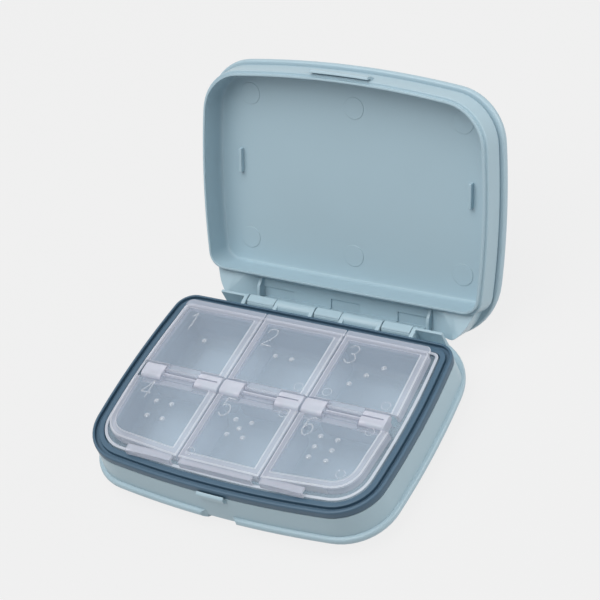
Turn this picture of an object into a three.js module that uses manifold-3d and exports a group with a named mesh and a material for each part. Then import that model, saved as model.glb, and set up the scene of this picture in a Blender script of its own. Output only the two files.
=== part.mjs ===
// Travel pill box: a base shell with a soft seal round its rim, a clear tray of six cells with a
// small lid on each, and an upper shell that swings on a pin at the back and stands open.
// Millimetres. +X is to the right, +Y to the back, +Z up. The origin is on the flat underside,
// below the middle of the seal. The upper shell is drawn shut and then turned open on its pin.
import * as THREE from 'three';
import { mergeVertices } from 'three/addons/utils/BufferGeometryUtils.js';
import Module from 'manifold-3d';

const wasm = await Module();
wasm.setup();

// Clearances
const gap = 0.3;
const overrun = 1;

// Facets
const roundSides = 16;
const bendSteps = 6;
const bowSteps = 3;
const filletSteps = 3;
const dotSides = 8;
const sameVertex = 1e-4;

// The seal's groove, whose middle line every wall follows
const sealHalfWidth = 49.9;
const sealFrontY = -33.2;
const sealBackY = 33.2;
const sideBowRadius = 265;
const frontBowRadius = 340;
const backBowRadius = 6000;
const sealFrontCorner = 13.7;
const sealBackCorner = 4.9;
const leastCorner = 0.4;

// Heights
const seatingZ = 15.6;
const sealTopZ = 18.1;
const shellTopZ = 28.8;

// Bead round the foot and round the upper shell
const beadStep = 3.45;
const baseBeadZ = 6.05;
const lidBeadZ = 26.3;
const beadRadius = 1.5;
const backCorner = 22;

// Shell walls
const wallFaceBottom = 2.0;
const wallFaceTop = 1.45;
const wallInside = 1.7;
const floorThickness = 2;
const footInset = 8;
const lidRimFace = 1.3;
const lidWallInside = 0.2;
const lidRoof = 2;

// Seal
const grooveHalfWidth = 0.65;
const sealOuterLip = 0.95;
const sealInnerBand = 1.75;
const grooveDepth = 1.25;

// Hinge
const hingeY = 40.6;
const hingeZ = 12;
const barrelRadius = 2.3;
const pinRadius = 1;
const openDegrees = 120;
const knuckleHalfWidth = 4.6;
const earThickness = 1.35;
const hingeEndInset = 0.1;
const outerKnuckleLength = 9.95;
const earEnd = sealHalfWidth + beadStep - backCorner - hingeEndInset;
const outerKnuckleEnd = earEnd - earThickness - gap;
const baseBarrelEnd = outerKnuckleEnd - outerKnuckleLength - gap;
const pinInset = 0.2;
const boreEndWall = 0.5;
const boreEnd = earEnd - boreEndWall;
const backOverhang = 4.8;
const wingEndInset = 9.8;
const wingEnd = sealHalfWidth - wingEndInset;
const wingTopZ = 14.3;
const wingTopReach = 0.8;
const wingTopThickness = 1;
const wingFootReach = 2.2;
const wingThickness = 1.5;
const leafThickness = 1.5;
const outerPocketZ = 10;

// Ramps between the hinge and the back corners of the upper shell: how far each corner of their
// outline lies in from the seal's half width and behind the seal's back
const rampOutline = [[8.9, 9.2], [7.6, 8.4], [6.6, 6.2], [5.1, 4], [3.2, 0.1]];
const rampLowZ = 16.5;
const rampBend = 8;
const rampRise = 1.1;
const rampEndX = 40.5;
const rampEndZ = 17;
const flangeZ = 21.4;
const gussetX = 30.4;
const gussetThickness = 1.1;
const gussetNose = [[2, 20.5], [4.3, 18.8], [5.8, 18.5]];

// Catch at the front
const catchHalfWidth = 4.7;
const catchFace = 2.85;
const catchThickness = 0.95;
const catchTip = 0.3;
const catchTopZ = 16.6;
const catchDrop = 0.5;
const catchRootZ = 12.4;
const tabHalfWidth = 10.3;
const tabTipZ = 17.3;
const tabTopZ = 21.5;
const tabThickness = 0.85;
const notchHalfWidth = 5.6;
const notchUnderZ = 5.2;

// Tray
const trayRimZ = 18.45;
const trayRimWidth = 1;
const trayLedgeDrop = 0.6;
const lidSideInset = 4.5;
const lidFrontInset = 4.8;
const trayWall = 1;
const trayDraft = 0.4;
const trayFloor = 1;
const outerCellExtra = 1.9;
const cellPitch = ((sealHalfWidth - lidSideInset - outerCellExtra) * 2) / 3;
const cellWall = 1.5;
const railWall = 2.4;
const railY = 0.2;
const cellCorner = 2;

// Compartment lids
const lidTopZ = 21.4;
const lidPlate = 1.1;
const lidSkirt = 1;
const lidBackY = 28.6;
const lidFrontCorner = 9;
const lidBackCorner = 2;
const seamGap = 0.6;
const lidChamfer = 0.7;
const pivotSpread = 1.6;
const pivotDrop = 1;
const lidBarrelRadius = 1;
const pegRadius = 0.55;
const pegLength = 1.5;
const postRadius = 1.2;
const postReach = 7.6;
const postEndReach = 8.8;
const notchClear = 1.5;
const lidOpenEdge = 0.8;
const crestWidth = 0.6;
const crestDrop = 0.9;
const fingerLipReach = 1.6;
const flangeDrop = 0.3;
const fingerLipDrop = 2.2;
const fingerLipThickness = 0.8;
const dotRadius = 0.85;
const dotHeight = 0.5;
const dotTopShare = 0.7;
const backDotsY = 14.7;
const frontDotsY = -13.8;
const digitWidth = 3.3;
const digitHeight = 6.6;
const digitStroke = 0.5;
const digitRelief = 0.25;
const digitSide = 8.2;
const digitForward = 6.55;

// Details inside the upper shell
const ribX = 41.4;
const ribStart = -5.2;
const ribEnd = 2.8;
const ribThickness = 1.15;
const ribHeight = 1.8;

// Colours of the six mouldings and the pin
const shellLook = { color: 0xa5c3ca, roughness: 0.5, metalness: 0 };
const sealLook = { color: 0x4e6f8c, roughness: 0.7, metalness: 0 };
const clearLook = { color: 0xc9cddb, roughness: 0.35, metalness: 0 };
const steelLook = { color: 0xb8bcc0, roughness: 0.3, metalness: 1 };

// Outlines
const sealForm = {
  halfWidth: sealHalfWidth, frontY: sealFrontY, backY: sealBackY,
  sideBow: sideBowRadius, frontBow: frontBowRadius, backBow: backBowRadius,
  frontCorner: sealFrontCorner, backCorner: sealBackCorner,
};
const plateForm = {
  halfWidth: sealHalfWidth + beadStep, frontY: sealFrontY - beadStep, backY: hingeY + backOverhang,
  sideBow: sideBowRadius + beadStep, frontBow: frontBowRadius + beadStep, backBow: backBowRadius,
  frontCorner: sealFrontCorner + beadStep, backCorner,
};

// Points along an arc, without its last point
function arcPoints(centre, radius, from, to, steps) {
  const points = [];
  for (let i = 0; i < steps; i += 1) {
    const angle = from + ((to - from) * i) / steps;
    points.push(new THREE.Vector2(centre.x + radius * Math.cos(angle), centre.y + radius * Math.sin(angle)));
  }
  return points;
}

// Where two circles cross, on the side that a direction points to
function crossing(a, radiusA, b, radiusB, side) {
  const between = b.clone().sub(a);
  const span = between.length();
  const along = (radiusA ** 2 - radiusB ** 2 + span ** 2) / (span + span);
  const across = Math.sqrt(Math.max(radiusA ** 2 - along ** 2, 0));
  const step = between.normalize();
  const foot = a.clone().addScaledVector(step, along);
  const left = foot.clone().addScaledVector(new THREE.Vector2(-step.y, step.x), across);
  const right = foot.clone().addScaledVector(new THREE.Vector2(step.y, -step.x), across);
  return left.dot(side) > right.dot(side) ? left : right;
}

// A bowed outline with round corners, moved out by an offset, the same number of points each time
function outline(form, offset) {
  const side = { centre: new THREE.Vector2(form.halfWidth - form.sideBow, 0), radius: form.sideBow + offset };
  const front = { centre: new THREE.Vector2(0, form.frontY + form.frontBow), radius: form.frontBow + offset };
  const back = { centre: new THREE.Vector2(0, form.backY - form.backBow), radius: form.backBow + offset };
  const frontRadius = Math.max(form.frontCorner + offset, leastCorner);
  const backRadius = Math.max(form.backCorner + offset, leastCorner);
  const frontSide = new THREE.Vector2(1, -1);
  const backSide = new THREE.Vector2(1, 1);
  const meeting = (end, bend, way) => (
    crossing(side.centre, side.radius - bend, end.centre, end.radius - bend, way)
  );
  const inFront = meeting(front, frontRadius, frontSide);
  const behind = meeting(back, backRadius, backSide);
  const angleOf = (from, to) => Math.atan2(to.y - from.y, to.x - from.x);
  const frontEnd = angleOf(front.centre, inFront);
  const sideStart = angleOf(side.centre, inFront);
  const sideEnd = angleOf(side.centre, behind);
  const backStart = angleOf(back.centre, behind);
  const right = [
    ...arcPoints(front.centre, front.radius, -Math.PI / 2, frontEnd, bowSteps),
    ...arcPoints(inFront, frontRadius, frontEnd, sideStart, bendSteps),
    ...arcPoints(side.centre, side.radius, sideStart, sideEnd, bowSteps),
    ...arcPoints(behind, backRadius, sideEnd, backStart, bendSteps),
    ...arcPoints(back.centre, back.radius, backStart, Math.PI / 2, 1),
    new THREE.Vector2(0, form.backY + offset),
  ];
  const left = right.slice(1, -1).reverse().map((point) => new THREE.Vector2(-point.x, point.y));
  return [...right, ...left];
}

// A polygon with straight edges and round corners, moved in by an inset
function roundedPolygon(corners, inset) {
  const edges = corners.map((corner, i) => {
    const next = corners[(i + 1) % corners.length];
    const step = new THREE.Vector2(next.x - corner.x, next.y - corner.y).normalize();
    const inward = new THREE.Vector2(-step.y, step.x);
    return { step, start: new THREE.Vector2(corner.x, corner.y).addScaledVector(inward, inset) };
  });
  return corners.flatMap((corner, i) => {
    const before = edges[(i + corners.length - 1) % corners.length];
    const after = edges[i];
    const turn = before.step.cross(after.step);
    const reach = after.start.clone().sub(before.start).cross(after.step) / turn;
    const tip = before.start.clone().addScaledVector(before.step, reach);
    const radius = Math.max(corner.radius - inset, leastCorner);
    const bend = Math.acos(before.step.dot(after.step));
    const trim = radius * Math.tan(bend / 2);
    const centre = tip.clone().addScaledVector(before.step, -trim);
    centre.addScaledVector(new THREE.Vector2(-before.step.y, before.step.x), radius);
    const from = Math.atan2(-before.step.x, before.step.y);
    const points = arcPoints(centre, radius, from, from + bend, filletSteps);
    points.push(tip.clone().addScaledVector(after.step, trim));
    return points;
  });
}

// The signed volume of a closed mesh, used to turn its faces outward
function signedVolume(geometry) {
  const place = geometry.attributes.position;
  const corner = [new THREE.Vector3(), new THREE.Vector3(), new THREE.Vector3()];
  let volume = 0;
  for (let i = 0; i < geometry.index.count; i += 3) {
    corner.forEach((point, k) => point.fromBufferAttribute(place, geometry.index.array[i + k]));
    volume += corner[0].dot(corner[1].clone().cross(corner[2]));
  }
  return volume;
}

// A closed body for joining and cutting
function solid(source) {
  const bare = source.clone();
  bare.deleteAttribute('normal');
  bare.deleteAttribute('uv');
  const merged = mergeVertices(bare, sameVertex);
  const faces = Uint32Array.from(merged.index.array);
  if (signedVolume(merged) < 0) {
    for (let i = 0; i < faces.length; i += 3) {
      [faces[i], faces[i + 1]] = [faces[i + 1], faces[i]];
    }
  }
  const vertProperties = Float32Array.from(merged.attributes.position.array);
  return new wasm.Manifold(new wasm.Mesh({ numProp: 3, vertProperties, triVerts: faces }));
}

// A stack of outlines joined into one body: levels hold an outline's points and a height
function stack(levels, closed = false) {
  const count = levels[0].points.length;
  const places = levels.flatMap(({ points, z }) => points.flatMap((point) => [point.x, point.y, z]));
  const faces = [];
  const rows = closed ? levels.length : levels.length - 1;
  for (let row = 0; row < rows; row += 1) {
    const above = (row + 1) % levels.length;
    for (let i = 0; i < count; i += 1) {
      const j = (i + 1) % count;
      faces.push(row * count + i, row * count + j, above * count + j);
      faces.push(row * count + i, above * count + j, above * count + i);
    }
  }
  if (!closed) {
    const top = levels.length - 1;
    THREE.ShapeUtils.triangulateShape(levels[0].points, []).forEach(([a, b, c]) => faces.push(c, b, a));
    THREE.ShapeUtils.triangulateShape(levels[top].points, []).forEach(([a, b, c]) => {
      faces.push(top * count + a, top * count + b, top * count + c);
    });
  }
  const geometry = new THREE.BufferGeometry();
  geometry.setAttribute('position', new THREE.Float32BufferAttribute(places, 3));
  geometry.setIndex(faces);
  return solid(geometry);
}

// A body whose section is a list of [offset, height] pairs round a form
function swept(form, section, closed = false) {
  return stack(section.map(([offset, z]) => ({ points: outline(form, offset), z })), closed);
}

function block(x0, x1, y0, y1, z0, z1) {
  const box = new THREE.BoxGeometry(x1 - x0, y1 - y0, z1 - z0);
  box.translate((x0 + x1) / 2, (y0 + y1) / 2, (z0 + z1) / 2);
  return solid(box);
}

// A round bar along X
function bar(radius, x0, x1, y, z) {
  const rod = new THREE.CylinderGeometry(radius, radius, x1 - x0, roundSides);
  rod.rotateZ(Math.PI / 2);
  rod.translate((x0 + x1) / 2, y, z);
  return solid(rod);
}

// A flat shape in the Y-Z plane, made thick along X
function plateAcross(points, x0, x1) {
  const shape = new THREE.Shape(points.map(([y, z]) => new THREE.Vector2(y, z)));
  const plate = new THREE.ExtrudeGeometry(shape, { depth: x1 - x0, bevelEnabled: false });
  const turn = new THREE.Matrix4().makeBasis(
    new THREE.Vector3(0, 1, 0), new THREE.Vector3(0, 0, 1), new THREE.Vector3(1, 0, 0),
  );
  plate.applyMatrix4(turn);
  plate.translate(x0, 0, 0);
  return solid(plate);
}

// A flat shape seen from above, made thick upward
function slab(corners, z0, z1) {
  const points = corners.map(([x, y]) => new THREE.Vector2(x, y));
  if (THREE.ShapeUtils.isClockWise(points)) points.reverse();
  return stack([{ points, z: z0 }, { points, z: z1 }]);
}

const joined = (pieces) => pieces.reduce((whole, piece) => whole.add(piece));
const bothSides = (make) => joined([make(1), make(-1)]);
const span = (side, near, far) => (side > 0 ? [near, far] : [-far, -near]);

// The part of a swept body between two sides, two depths and two heights
function portion(body, x0, x1, y0, y1, z0, z1) {
  return body.intersect(block(x0, x1, y0, y1, z0, z1));
}

// Base shell
function baseShell() {
  const beadUnder = baseBeadZ - beadRadius;
  const beadOver = baseBeadZ + beadRadius;
  const ledgeZ = seatingZ - gap;
  const foot = swept(plateForm, [
    [-footInset, 0],
    [-beadRadius, beadUnder - beadRadius / 5],
    [-beadRadius / 4, beadUnder + beadRadius / 3],
    [0, baseBeadZ],
    [-beadRadius / 4, beadOver - beadRadius / 3],
    [wallFaceBottom - beadStep, beadOver],
  ]);
  const wall = swept(sealForm, [
    [wallFaceBottom, baseBeadZ],
    [wallFaceBottom, beadOver],
    [wallFaceTop, ledgeZ],
  ]);
  const well = swept(sealForm, [
    [-wallInside - floorThickness - beadRadius, floorThickness],
    [-wallInside - beadRadius / 2, floorThickness + beadRadius],
    [-wallInside, baseBeadZ],
    [-wallInside, seatingZ + overrun],
  ]);
  const ringBack = sealBackY + wallFaceBottom;
  const windowEnd = earEnd - earThickness / 2;
  const pocketFloor = baseBeadZ - floorThickness + gap;
  const wingFootY = hingeY + wingFootReach;
  const wingTopY = hingeY + wingTopReach;
  const ringRoom = swept(sealForm, [[wallFaceBottom, 0], [wallFaceBottom, beadOver], [wallFaceTop, seatingZ]]);
  const hollowBehind = (end, floorZ) => block(
    -end, end, sealBackY - sealBackCorner, wingFootY - wingThickness, floorZ, wingTopZ,
  );
  const pocket = hollowBehind(earEnd, pocketFloor).add(hollowBehind(wingEnd, outerPocketZ)).subtract(ringRoom);
  const wings = bothSides((side) => plateAcross([
    [wingFootY - wingThickness, baseBeadZ], [wingFootY, baseBeadZ],
    [wingTopY, wingTopZ], [wingTopY - wingTopThickness, wingTopZ],
  ], ...span(side, windowEnd, wingEnd)));
  const window = block(-windowEnd, windowEnd, ringBack, plateForm.backY + overrun, baseBeadZ, shellTopZ);
  const earFloor = pocketFloor - gap;
  const earShape = [
    [sealBackY, earFloor],
    [hingeY, earFloor],
    [hingeY, hingeZ - barrelRadius - leafThickness + gap],
    [hingeY - barrelRadius / 2, hingeZ - barrelRadius + gap],
    [hingeY, hingeZ],
    [hingeY, hingeZ + barrelRadius],
    [sealBackY, hingeZ + barrelRadius / 2],
  ];
  const ear = (x0, x1) => plateAcross(earShape, x0, x1).add(bar(barrelRadius, x0, x1, hingeY, hingeZ));
  const barrelStart = knuckleHalfWidth + gap;
  const ears = bothSides((side) => joined([
    ear(...span(side, barrelStart, barrelStart + earThickness)),
    ear(...span(side, baseBarrelEnd - earThickness, baseBarrelEnd)),
    ear(...span(side, outerKnuckleEnd + gap, earEnd)),
    bar(barrelRadius, ...span(side, barrelStart, baseBarrelEnd), hingeY, hingeZ),
    block(...span(side, barrelStart, baseBarrelEnd), sealBackY, hingeY, hingeZ - barrelRadius / 2, hingeZ),
  ]));
  const catchInside = catchFace - catchThickness;
  const catchFin = portion(
    swept(sealForm, [
      [catchInside, ledgeZ - gap], [catchInside, catchTopZ], [catchInside + catchTip, catchTopZ],
      [catchFace, catchTopZ - catchDrop], [catchFace, ledgeZ - gap],
    ], true),
    -catchHalfWidth, catchHalfWidth, sealFrontY - beadStep, 0, ledgeZ - gap, catchTopZ,
  );
  const catchRoot = portion(
    swept(sealForm, [[wallFaceTop, catchRootZ], [catchFace, ledgeZ - gap], [catchFace, ledgeZ]]),
    -catchHalfWidth, catchHalfWidth, sealFrontY - beadStep, 0, catchRootZ, ledgeZ,
  );
  const notchDepth = beadStep - wallFaceBottom;
  const beadNotch = portion(
    swept(plateForm, [
      [overrun, 0], [overrun, wingTopZ], [-notchDepth, wingTopZ], [-notchDepth, 0],
    ], true),
    -notchHalfWidth, notchHalfWidth, plateForm.frontY - overrun, 0, 0, wingTopZ,
  );
  const underNotch = block(
    -notchHalfWidth, notchHalfWidth, plateForm.frontY - overrun, sealFrontY, -overrun, notchUnderZ,
  );
  return foot
    .subtract(pocket)
    .add(wall)
    .subtract(window)
    .add(wings)
    .add(ears)
    .subtract(beadNotch)
    .subtract(underNotch)
    .add(catchRoot)
    .subtract(well)
    .add(catchFin)
    .subtract(bar(pinRadius + gap, -earEnd - gap, boreEnd, hingeY, hingeZ));
}

// Soft seal
function sealGasket() {
  const outer = grooveHalfWidth + sealOuterLip;
  const inner = -grooveHalfWidth - sealInnerBand;
  const round = sealOuterLip / 3;
  return swept(sealForm, [
    [outer - round, seatingZ],
    [outer, seatingZ + round],
    [outer, sealTopZ - round],
    [outer - round, sealTopZ],
    [grooveHalfWidth + round, sealTopZ],
    [grooveHalfWidth, sealTopZ - round],
    [grooveHalfWidth, sealTopZ - grooveDepth],
    [-grooveHalfWidth, sealTopZ - grooveDepth],
    [-grooveHalfWidth, sealTopZ - round],
    [-grooveHalfWidth - round, sealTopZ],
    [inner, sealTopZ],
    [inner, seatingZ],
  ], true);
}

// Places of the six lids, in their columns and rows
const seams = [-1, 0, 1, 2].map((column) => (column - 1 / 2) * cellPitch);
const columnOf = (index) => index % 3;
const inBackRow = (index) => index < 3;
const rowSign = (index) => (inBackRow(index) ? 1 : -1);
const rowPivotY = (index) => railY + rowSign(index) * pivotSpread;
const pivotZ = lidTopZ - pivotDrop;

// Tray
function pillTray() {
  const rimOffset = -grooveHalfWidth - sealInnerBand - gap;
  const ledgeZ = trayRimZ - trayLedgeDrop;
  const wallOffset = -lidSideInset;
  const cellOffset = wallOffset - trayWall;
  const bottomZ = floorThickness + gap;
  const body = swept(sealForm, [
    [wallOffset - trayDraft - cellCorner, bottomZ],
    [wallOffset - trayDraft, bottomZ + cellCorner],
    [wallOffset, seatingZ - trayWall],
    [rimOffset, seatingZ],
    [rimOffset, trayRimZ - gap],
    [rimOffset - gap, trayRimZ],
  ]);
  const recess = swept(sealForm, [
    [rimOffset - trayRimWidth, ledgeZ],
    [rimOffset - trayRimWidth, trayRimZ + overrun],
  ]);
  const cellsWithin = swept(sealForm, [
    [cellOffset - trayDraft - cellCorner, bottomZ + trayFloor],
    [cellOffset - trayDraft, bottomZ + trayFloor + cellCorner],
    [cellOffset, trayRimZ + overrun],
  ]);
  const cells = [0, 1, 2, 3, 4, 5].map((index) => {
    const column = columnOf(index);
    const near = railY + (rowSign(index) * railWall) / 2;
    const far = rowSign(index) * (sealBackY + beadStep);
    const x0 = column === 0 ? -sealHalfWidth : seams[column] + cellWall / 2;
    const x1 = column === 2 ? sealHalfWidth : seams[column + 1] - cellWall / 2;
    const [y0, y1] = inBackRow(index) ? [near, far] : [far, near];
    const corners = [
      { x: x0, y: y0, radius: cellCorner }, { x: x1, y: y0, radius: cellCorner },
      { x: x1, y: y1, radius: cellCorner }, { x: x0, y: y1, radius: cellCorner },
    ];
    const shaft = stack([
      { points: roundedPolygon(corners, trayDraft), z: bottomZ + trayFloor },
      { points: roundedPolygon(corners, 0), z: trayRimZ + overrun },
    ]);
    return shaft.intersect(cellsWithin);
  });
  const crest = block(
    seams[0] + cellWall, seams[seams.length - 1] - cellWall, railY - crestWidth / 2, railY + crestWidth / 2,
    ledgeZ - trayWall, lidTopZ - crestDrop,
  );
  return joined([body.subtract(recess).subtract(joined(cells)), crest, ...trayPosts()]);
}

// Posts on the tray's middle wall, with a blind hole for each lid's pegs
function trayPosts() {
  const ledgeZ = trayRimZ - trayLedgeDrop;
  const post = (x0, x1) => {
    const backY = railY + pivotSpread;
    const frontY = railY - pivotSpread;
    const between = block(x0, x1, frontY, backY, pivotZ - postRadius, pivotZ + postRadius / 2);
    const root = block(x0, x1, frontY, backY, ledgeZ - postRadius, pivotZ);
    const rounds = [backY, frontY].map((y) => bar(postRadius, x0, x1, y, pivotZ));
    return joined([...rounds, between, root]);
  };
  const hole = (x0, x1, y) => bar(pegRadius + gap, x0, x1, y, pivotZ);
  return seams.slice(0, -1).flatMap((seam) => {
    const next = seam + cellPitch;
    const left = post(seam + seamGap, seam + postReach);
    const right = post(next - postEndReach, next - seamGap);
    const holes = joined([railY - pivotSpread, railY + pivotSpread].flatMap((y) => [
      hole(seam + postReach - pegLength - gap, seam + postReach + overrun, y),
      hole(next - postEndReach - overrun, next - postEndReach + pegLength + gap, y),
    ]));
    return [left.subtract(holes), right.subtract(holes)];
  });
}

// Strokes of the numbers, as shares of a number's width and height
const digitStrokeShares = {
  1: [[0.2, 0.8], [0.55, 1], [0.55, 0]],
  2: [[0, 0.8], [0.25, 1], [0.75, 1], [1, 0.75], [0.9, 0.5], [0, 0], [1, 0]],
  3: [
    [0, 0.9], [0.4, 1], [0.85, 0.9], [0.85, 0.62], [0.4, 0.52], [0.95, 0.4], [0.95, 0.12], [0.5, 0], [0, 0.1],
  ],
  4: [[0.75, 0], [0.75, 1], [0, 0.3], [1, 0.3]],
  5: [[0.95, 1], [0.1, 1], [0.05, 0.55], [0.6, 0.62], [0.98, 0.4], [0.85, 0.08], [0.4, 0], [0, 0.1]],
  6: [[0.8, 1], [0.25, 0.75], [0, 0.35], [0.2, 0.04], [0.75, 0.02], [1, 0.3], [0.7, 0.55], [0.1, 0.42]],
};

// Raised dots on each lid, as shares of the pitch from the middle of the dots
const dotShares = {
  1: [[0, 0]],
  2: [[-0.1, 0], [0.1, 0]],
  3: [[0.14, 0.135], [0, 0], [-0.13, -0.145]],
  4: [[-0.097, 0.1], [0.097, 0.1], [-0.097, -0.1], [0.097, -0.1]],
  5: [[-0.097, 0.1], [0.097, 0.1], [0, 0], [-0.097, -0.1], [0.097, -0.1]],
  6: [[-0.1, 0.135], [0.1, 0.135], [-0.1, 0], [0.1, 0], [-0.1, -0.135], [0.1, -0.135]],
};

function stroke(from, to, z0, z1) {
  const along = to.clone().sub(from);
  const length = along.length();
  const bead = new THREE.BoxGeometry(length + digitStroke, digitStroke, z1 - z0);
  bead.rotateZ(Math.atan2(along.y, along.x));
  bead.translate((from.x + to.x) / 2, (from.y + to.y) / 2, (z0 + z1) / 2);
  return solid(bead);
}

// Corners of a lid, anticlockwise from the front left
function lidCorners(index, backY = lidBackY) {
  const column = columnOf(index);
  const side = rowSign(index);
  const edgeY = rowPivotY(index) - side * lidOpenEdge;
  const sideX = sealHalfWidth - lidSideInset;
  const bowAt = (y) => sideX - y ** 2 / (sideBowRadius + sideBowRadius);
  const x0 = column === 0 ? null : seams[column] + seamGap / 2;
  const x1 = column === 2 ? null : seams[column + 1] - seamGap / 2;
  const frontY = sealFrontY + lidFrontInset;
  const bowedFrontY = (x) => frontY + x ** 2 / (frontBowRadius + frontBowRadius);
  const leftFar = x0 === null;
  const rightFar = x1 === null;
  if (inBackRow(index)) {
    return [
      { x: leftFar ? -bowAt(edgeY) : x0, y: edgeY, radius: leastCorner },
      { x: rightFar ? bowAt(edgeY) : x1, y: edgeY, radius: leastCorner },
      { x: rightFar ? bowAt(backY) : x1, y: backY, radius: rightFar ? lidBackCorner : leastCorner },
      { x: leftFar ? -bowAt(backY) : x0, y: backY, radius: leftFar ? lidBackCorner : leastCorner },
    ];
  }
  const farX = bowAt(frontY);
  const leftX = leftFar ? -farX : x0;
  const rightX = rightFar ? farX : x1;
  return [
    { x: leftX, y: bowedFrontY(leftX), radius: leftFar ? lidFrontCorner : leastCorner },
    { x: rightX, y: bowedFrontY(rightX), radius: rightFar ? lidFrontCorner : leastCorner },
    { x: rightFar ? bowAt(edgeY) : x1, y: edgeY, radius: leastCorner },
    { x: leftFar ? -bowAt(edgeY) : x0, y: edgeY, radius: leastCorner },
  ];
}

function compartmentLid(index) {
  const number = index + 1;
  const side = rowSign(index);
  const column = columnOf(index);
  const pivotY = rowPivotY(index);
  const corners = lidCorners(index);
  const level = (inset, z) => ({ points: roundedPolygon(corners, inset), z });
  const skirtZ = trayRimZ - trayLedgeDrop + gap;
  const outside = stack([
    level(0, skirtZ), level(0, lidTopZ - lidChamfer), level(lidChamfer, lidTopZ),
  ]);
  const inside = stack([
    level(lidSkirt, skirtZ - overrun), level(lidSkirt, lidTopZ - lidPlate - lidChamfer),
    level(lidSkirt + lidChamfer, lidTopZ - lidPlate),
  ]);
  const seam = seams[column];
  const next = seam + cellPitch;
  const barrelStart = seam + postReach + gap;
  const barrelEnd = next - postEndReach - gap;
  const notchY = pivotY + side * notchClear;
  const [y0, y1] = side > 0 ? [railY - lidBackY, notchY] : [notchY, railY + lidBackY];
  const low = skirtZ - overrun;
  const high = lidTopZ + overrun;
  const notches = joined([
    block(seam - cellPitch / 2, barrelStart, y0, y1, low, high),
    block(barrelEnd, next + cellPitch / 2, y0, y1, low, high),
  ]);
  const [under0, under1] = side > 0 ? [y0, pivotY] : [pivotY, y1];
  const barrelRoom = block(barrelStart - overrun, barrelEnd + overrun, under0, under1, low, high);
  const [web0, web1] = side > 0 ? [pivotY, notchY + lidSkirt] : [notchY - lidSkirt, pivotY];
  const barrel = joined([
    bar(lidBarrelRadius, barrelStart, barrelEnd, pivotY, pivotZ),
    bar(pegRadius, barrelStart - pegLength, barrelEnd + pegLength, pivotY, pivotZ),
    block(barrelStart, barrelEnd, web0, web1, pivotZ - pivotDrop / 2, pivotZ + pivotDrop),
  ]);
  const [wall0, wall1] = side > 0 ? [notchY, notchY + lidSkirt] : [notchY - lidSkirt, notchY];
  const backWalls = joined([
    block(seam + cellWall, barrelStart, wall0, wall1, pivotZ - pivotDrop, lidTopZ - lidChamfer),
    block(barrelEnd, next - cellWall, wall0, wall1, pivotZ - pivotDrop, lidTopZ - lidChamfer),
  ]);
  const rim = inBackRow(index) ? backFlange(index) : frontLip(index);
  const rowMiddle = inBackRow(index) ? backDotsY : frontDotsY;
  const middle = (seam + next) / 2;
  const dots = dotShares[number].map(([across, along]) => {
    const tall = dotHeight + lidPlate / 2;
    const dot = new THREE.CylinderGeometry(dotRadius * dotTopShare, dotRadius, tall, dotSides);
    dot.rotateX(Math.PI / 2);
    dot.translate(middle + across * cellPitch, rowMiddle + along * cellPitch, lidTopZ + dotHeight - tall / 2);
    return solid(dot);
  });
  const digitX = middle - digitSide - digitWidth / 2;
  const digitY = rowMiddle + digitForward - digitHeight / 2;
  const digitPoints = digitStrokeShares[number].map(
    ([u, v]) => new THREE.Vector2(digitX + u * digitWidth, digitY + v * digitHeight),
  );
  const strokes = digitPoints.slice(1).map(
    (point, i) => stroke(digitPoints[i], point, lidTopZ - lidPlate / 2, lidTopZ + digitRelief),
  );
  return joined([
    outside.subtract(inside).add(rim).subtract(notches).subtract(barrelRoom),
    backWalls.intersect(outside), barrel, ...dots, ...strokes,
  ]);
}

// The flange along the back of a back lid, for a finger
function backFlange(index) {
  const points = roundedPolygon(lidCorners(index, lidBackY + fingerLipReach), 0);
  const topZ = lidTopZ - flangeDrop;
  const behind = block(-sealHalfWidth, sealHalfWidth, lidBackY - lidSkirt, sealBackY, 0, lidTopZ);
  return stack([{ points, z: topZ - fingerLipThickness }, { points, z: topZ }]).intersect(behind);
}

// The front lids' finger lips, as shares of the pitch from the lid's middle to each end of the lip
const fingerLipShares = { 4: [-0.12, 0.45], 5: [-0.45, 0.43], 6: [-0.47, 0.03] };

function frontLip(index) {
  const middle = seams[columnOf(index)] + cellPitch / 2;
  const [from, to] = fingerLipShares[index + 1];
  const inward = sealFrontY + lidFrontInset + lidSkirt;
  const outward = sealFrontY + lidFrontInset - fingerLipReach;
  const behindTip = outward + fingerLipThickness;
  const topZ = lidTopZ - lidChamfer;
  const underZ = topZ - fingerLipThickness;
  const shape = [
    [inward, underZ], [behindTip, underZ], [behindTip, topZ - fingerLipDrop], [outward, topZ - fingerLipDrop],
    [outward, topZ], [inward, topZ],
  ];
  return plateAcross(shape, middle + from * cellPitch, middle + to * cellPitch);
}

// Hinge pin, pushed in from the left, where its bore is open
function hingePin() {
  return bar(pinRadius, pinInset - earEnd, boreEnd - gap, hingeY, hingeZ);
}

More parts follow.
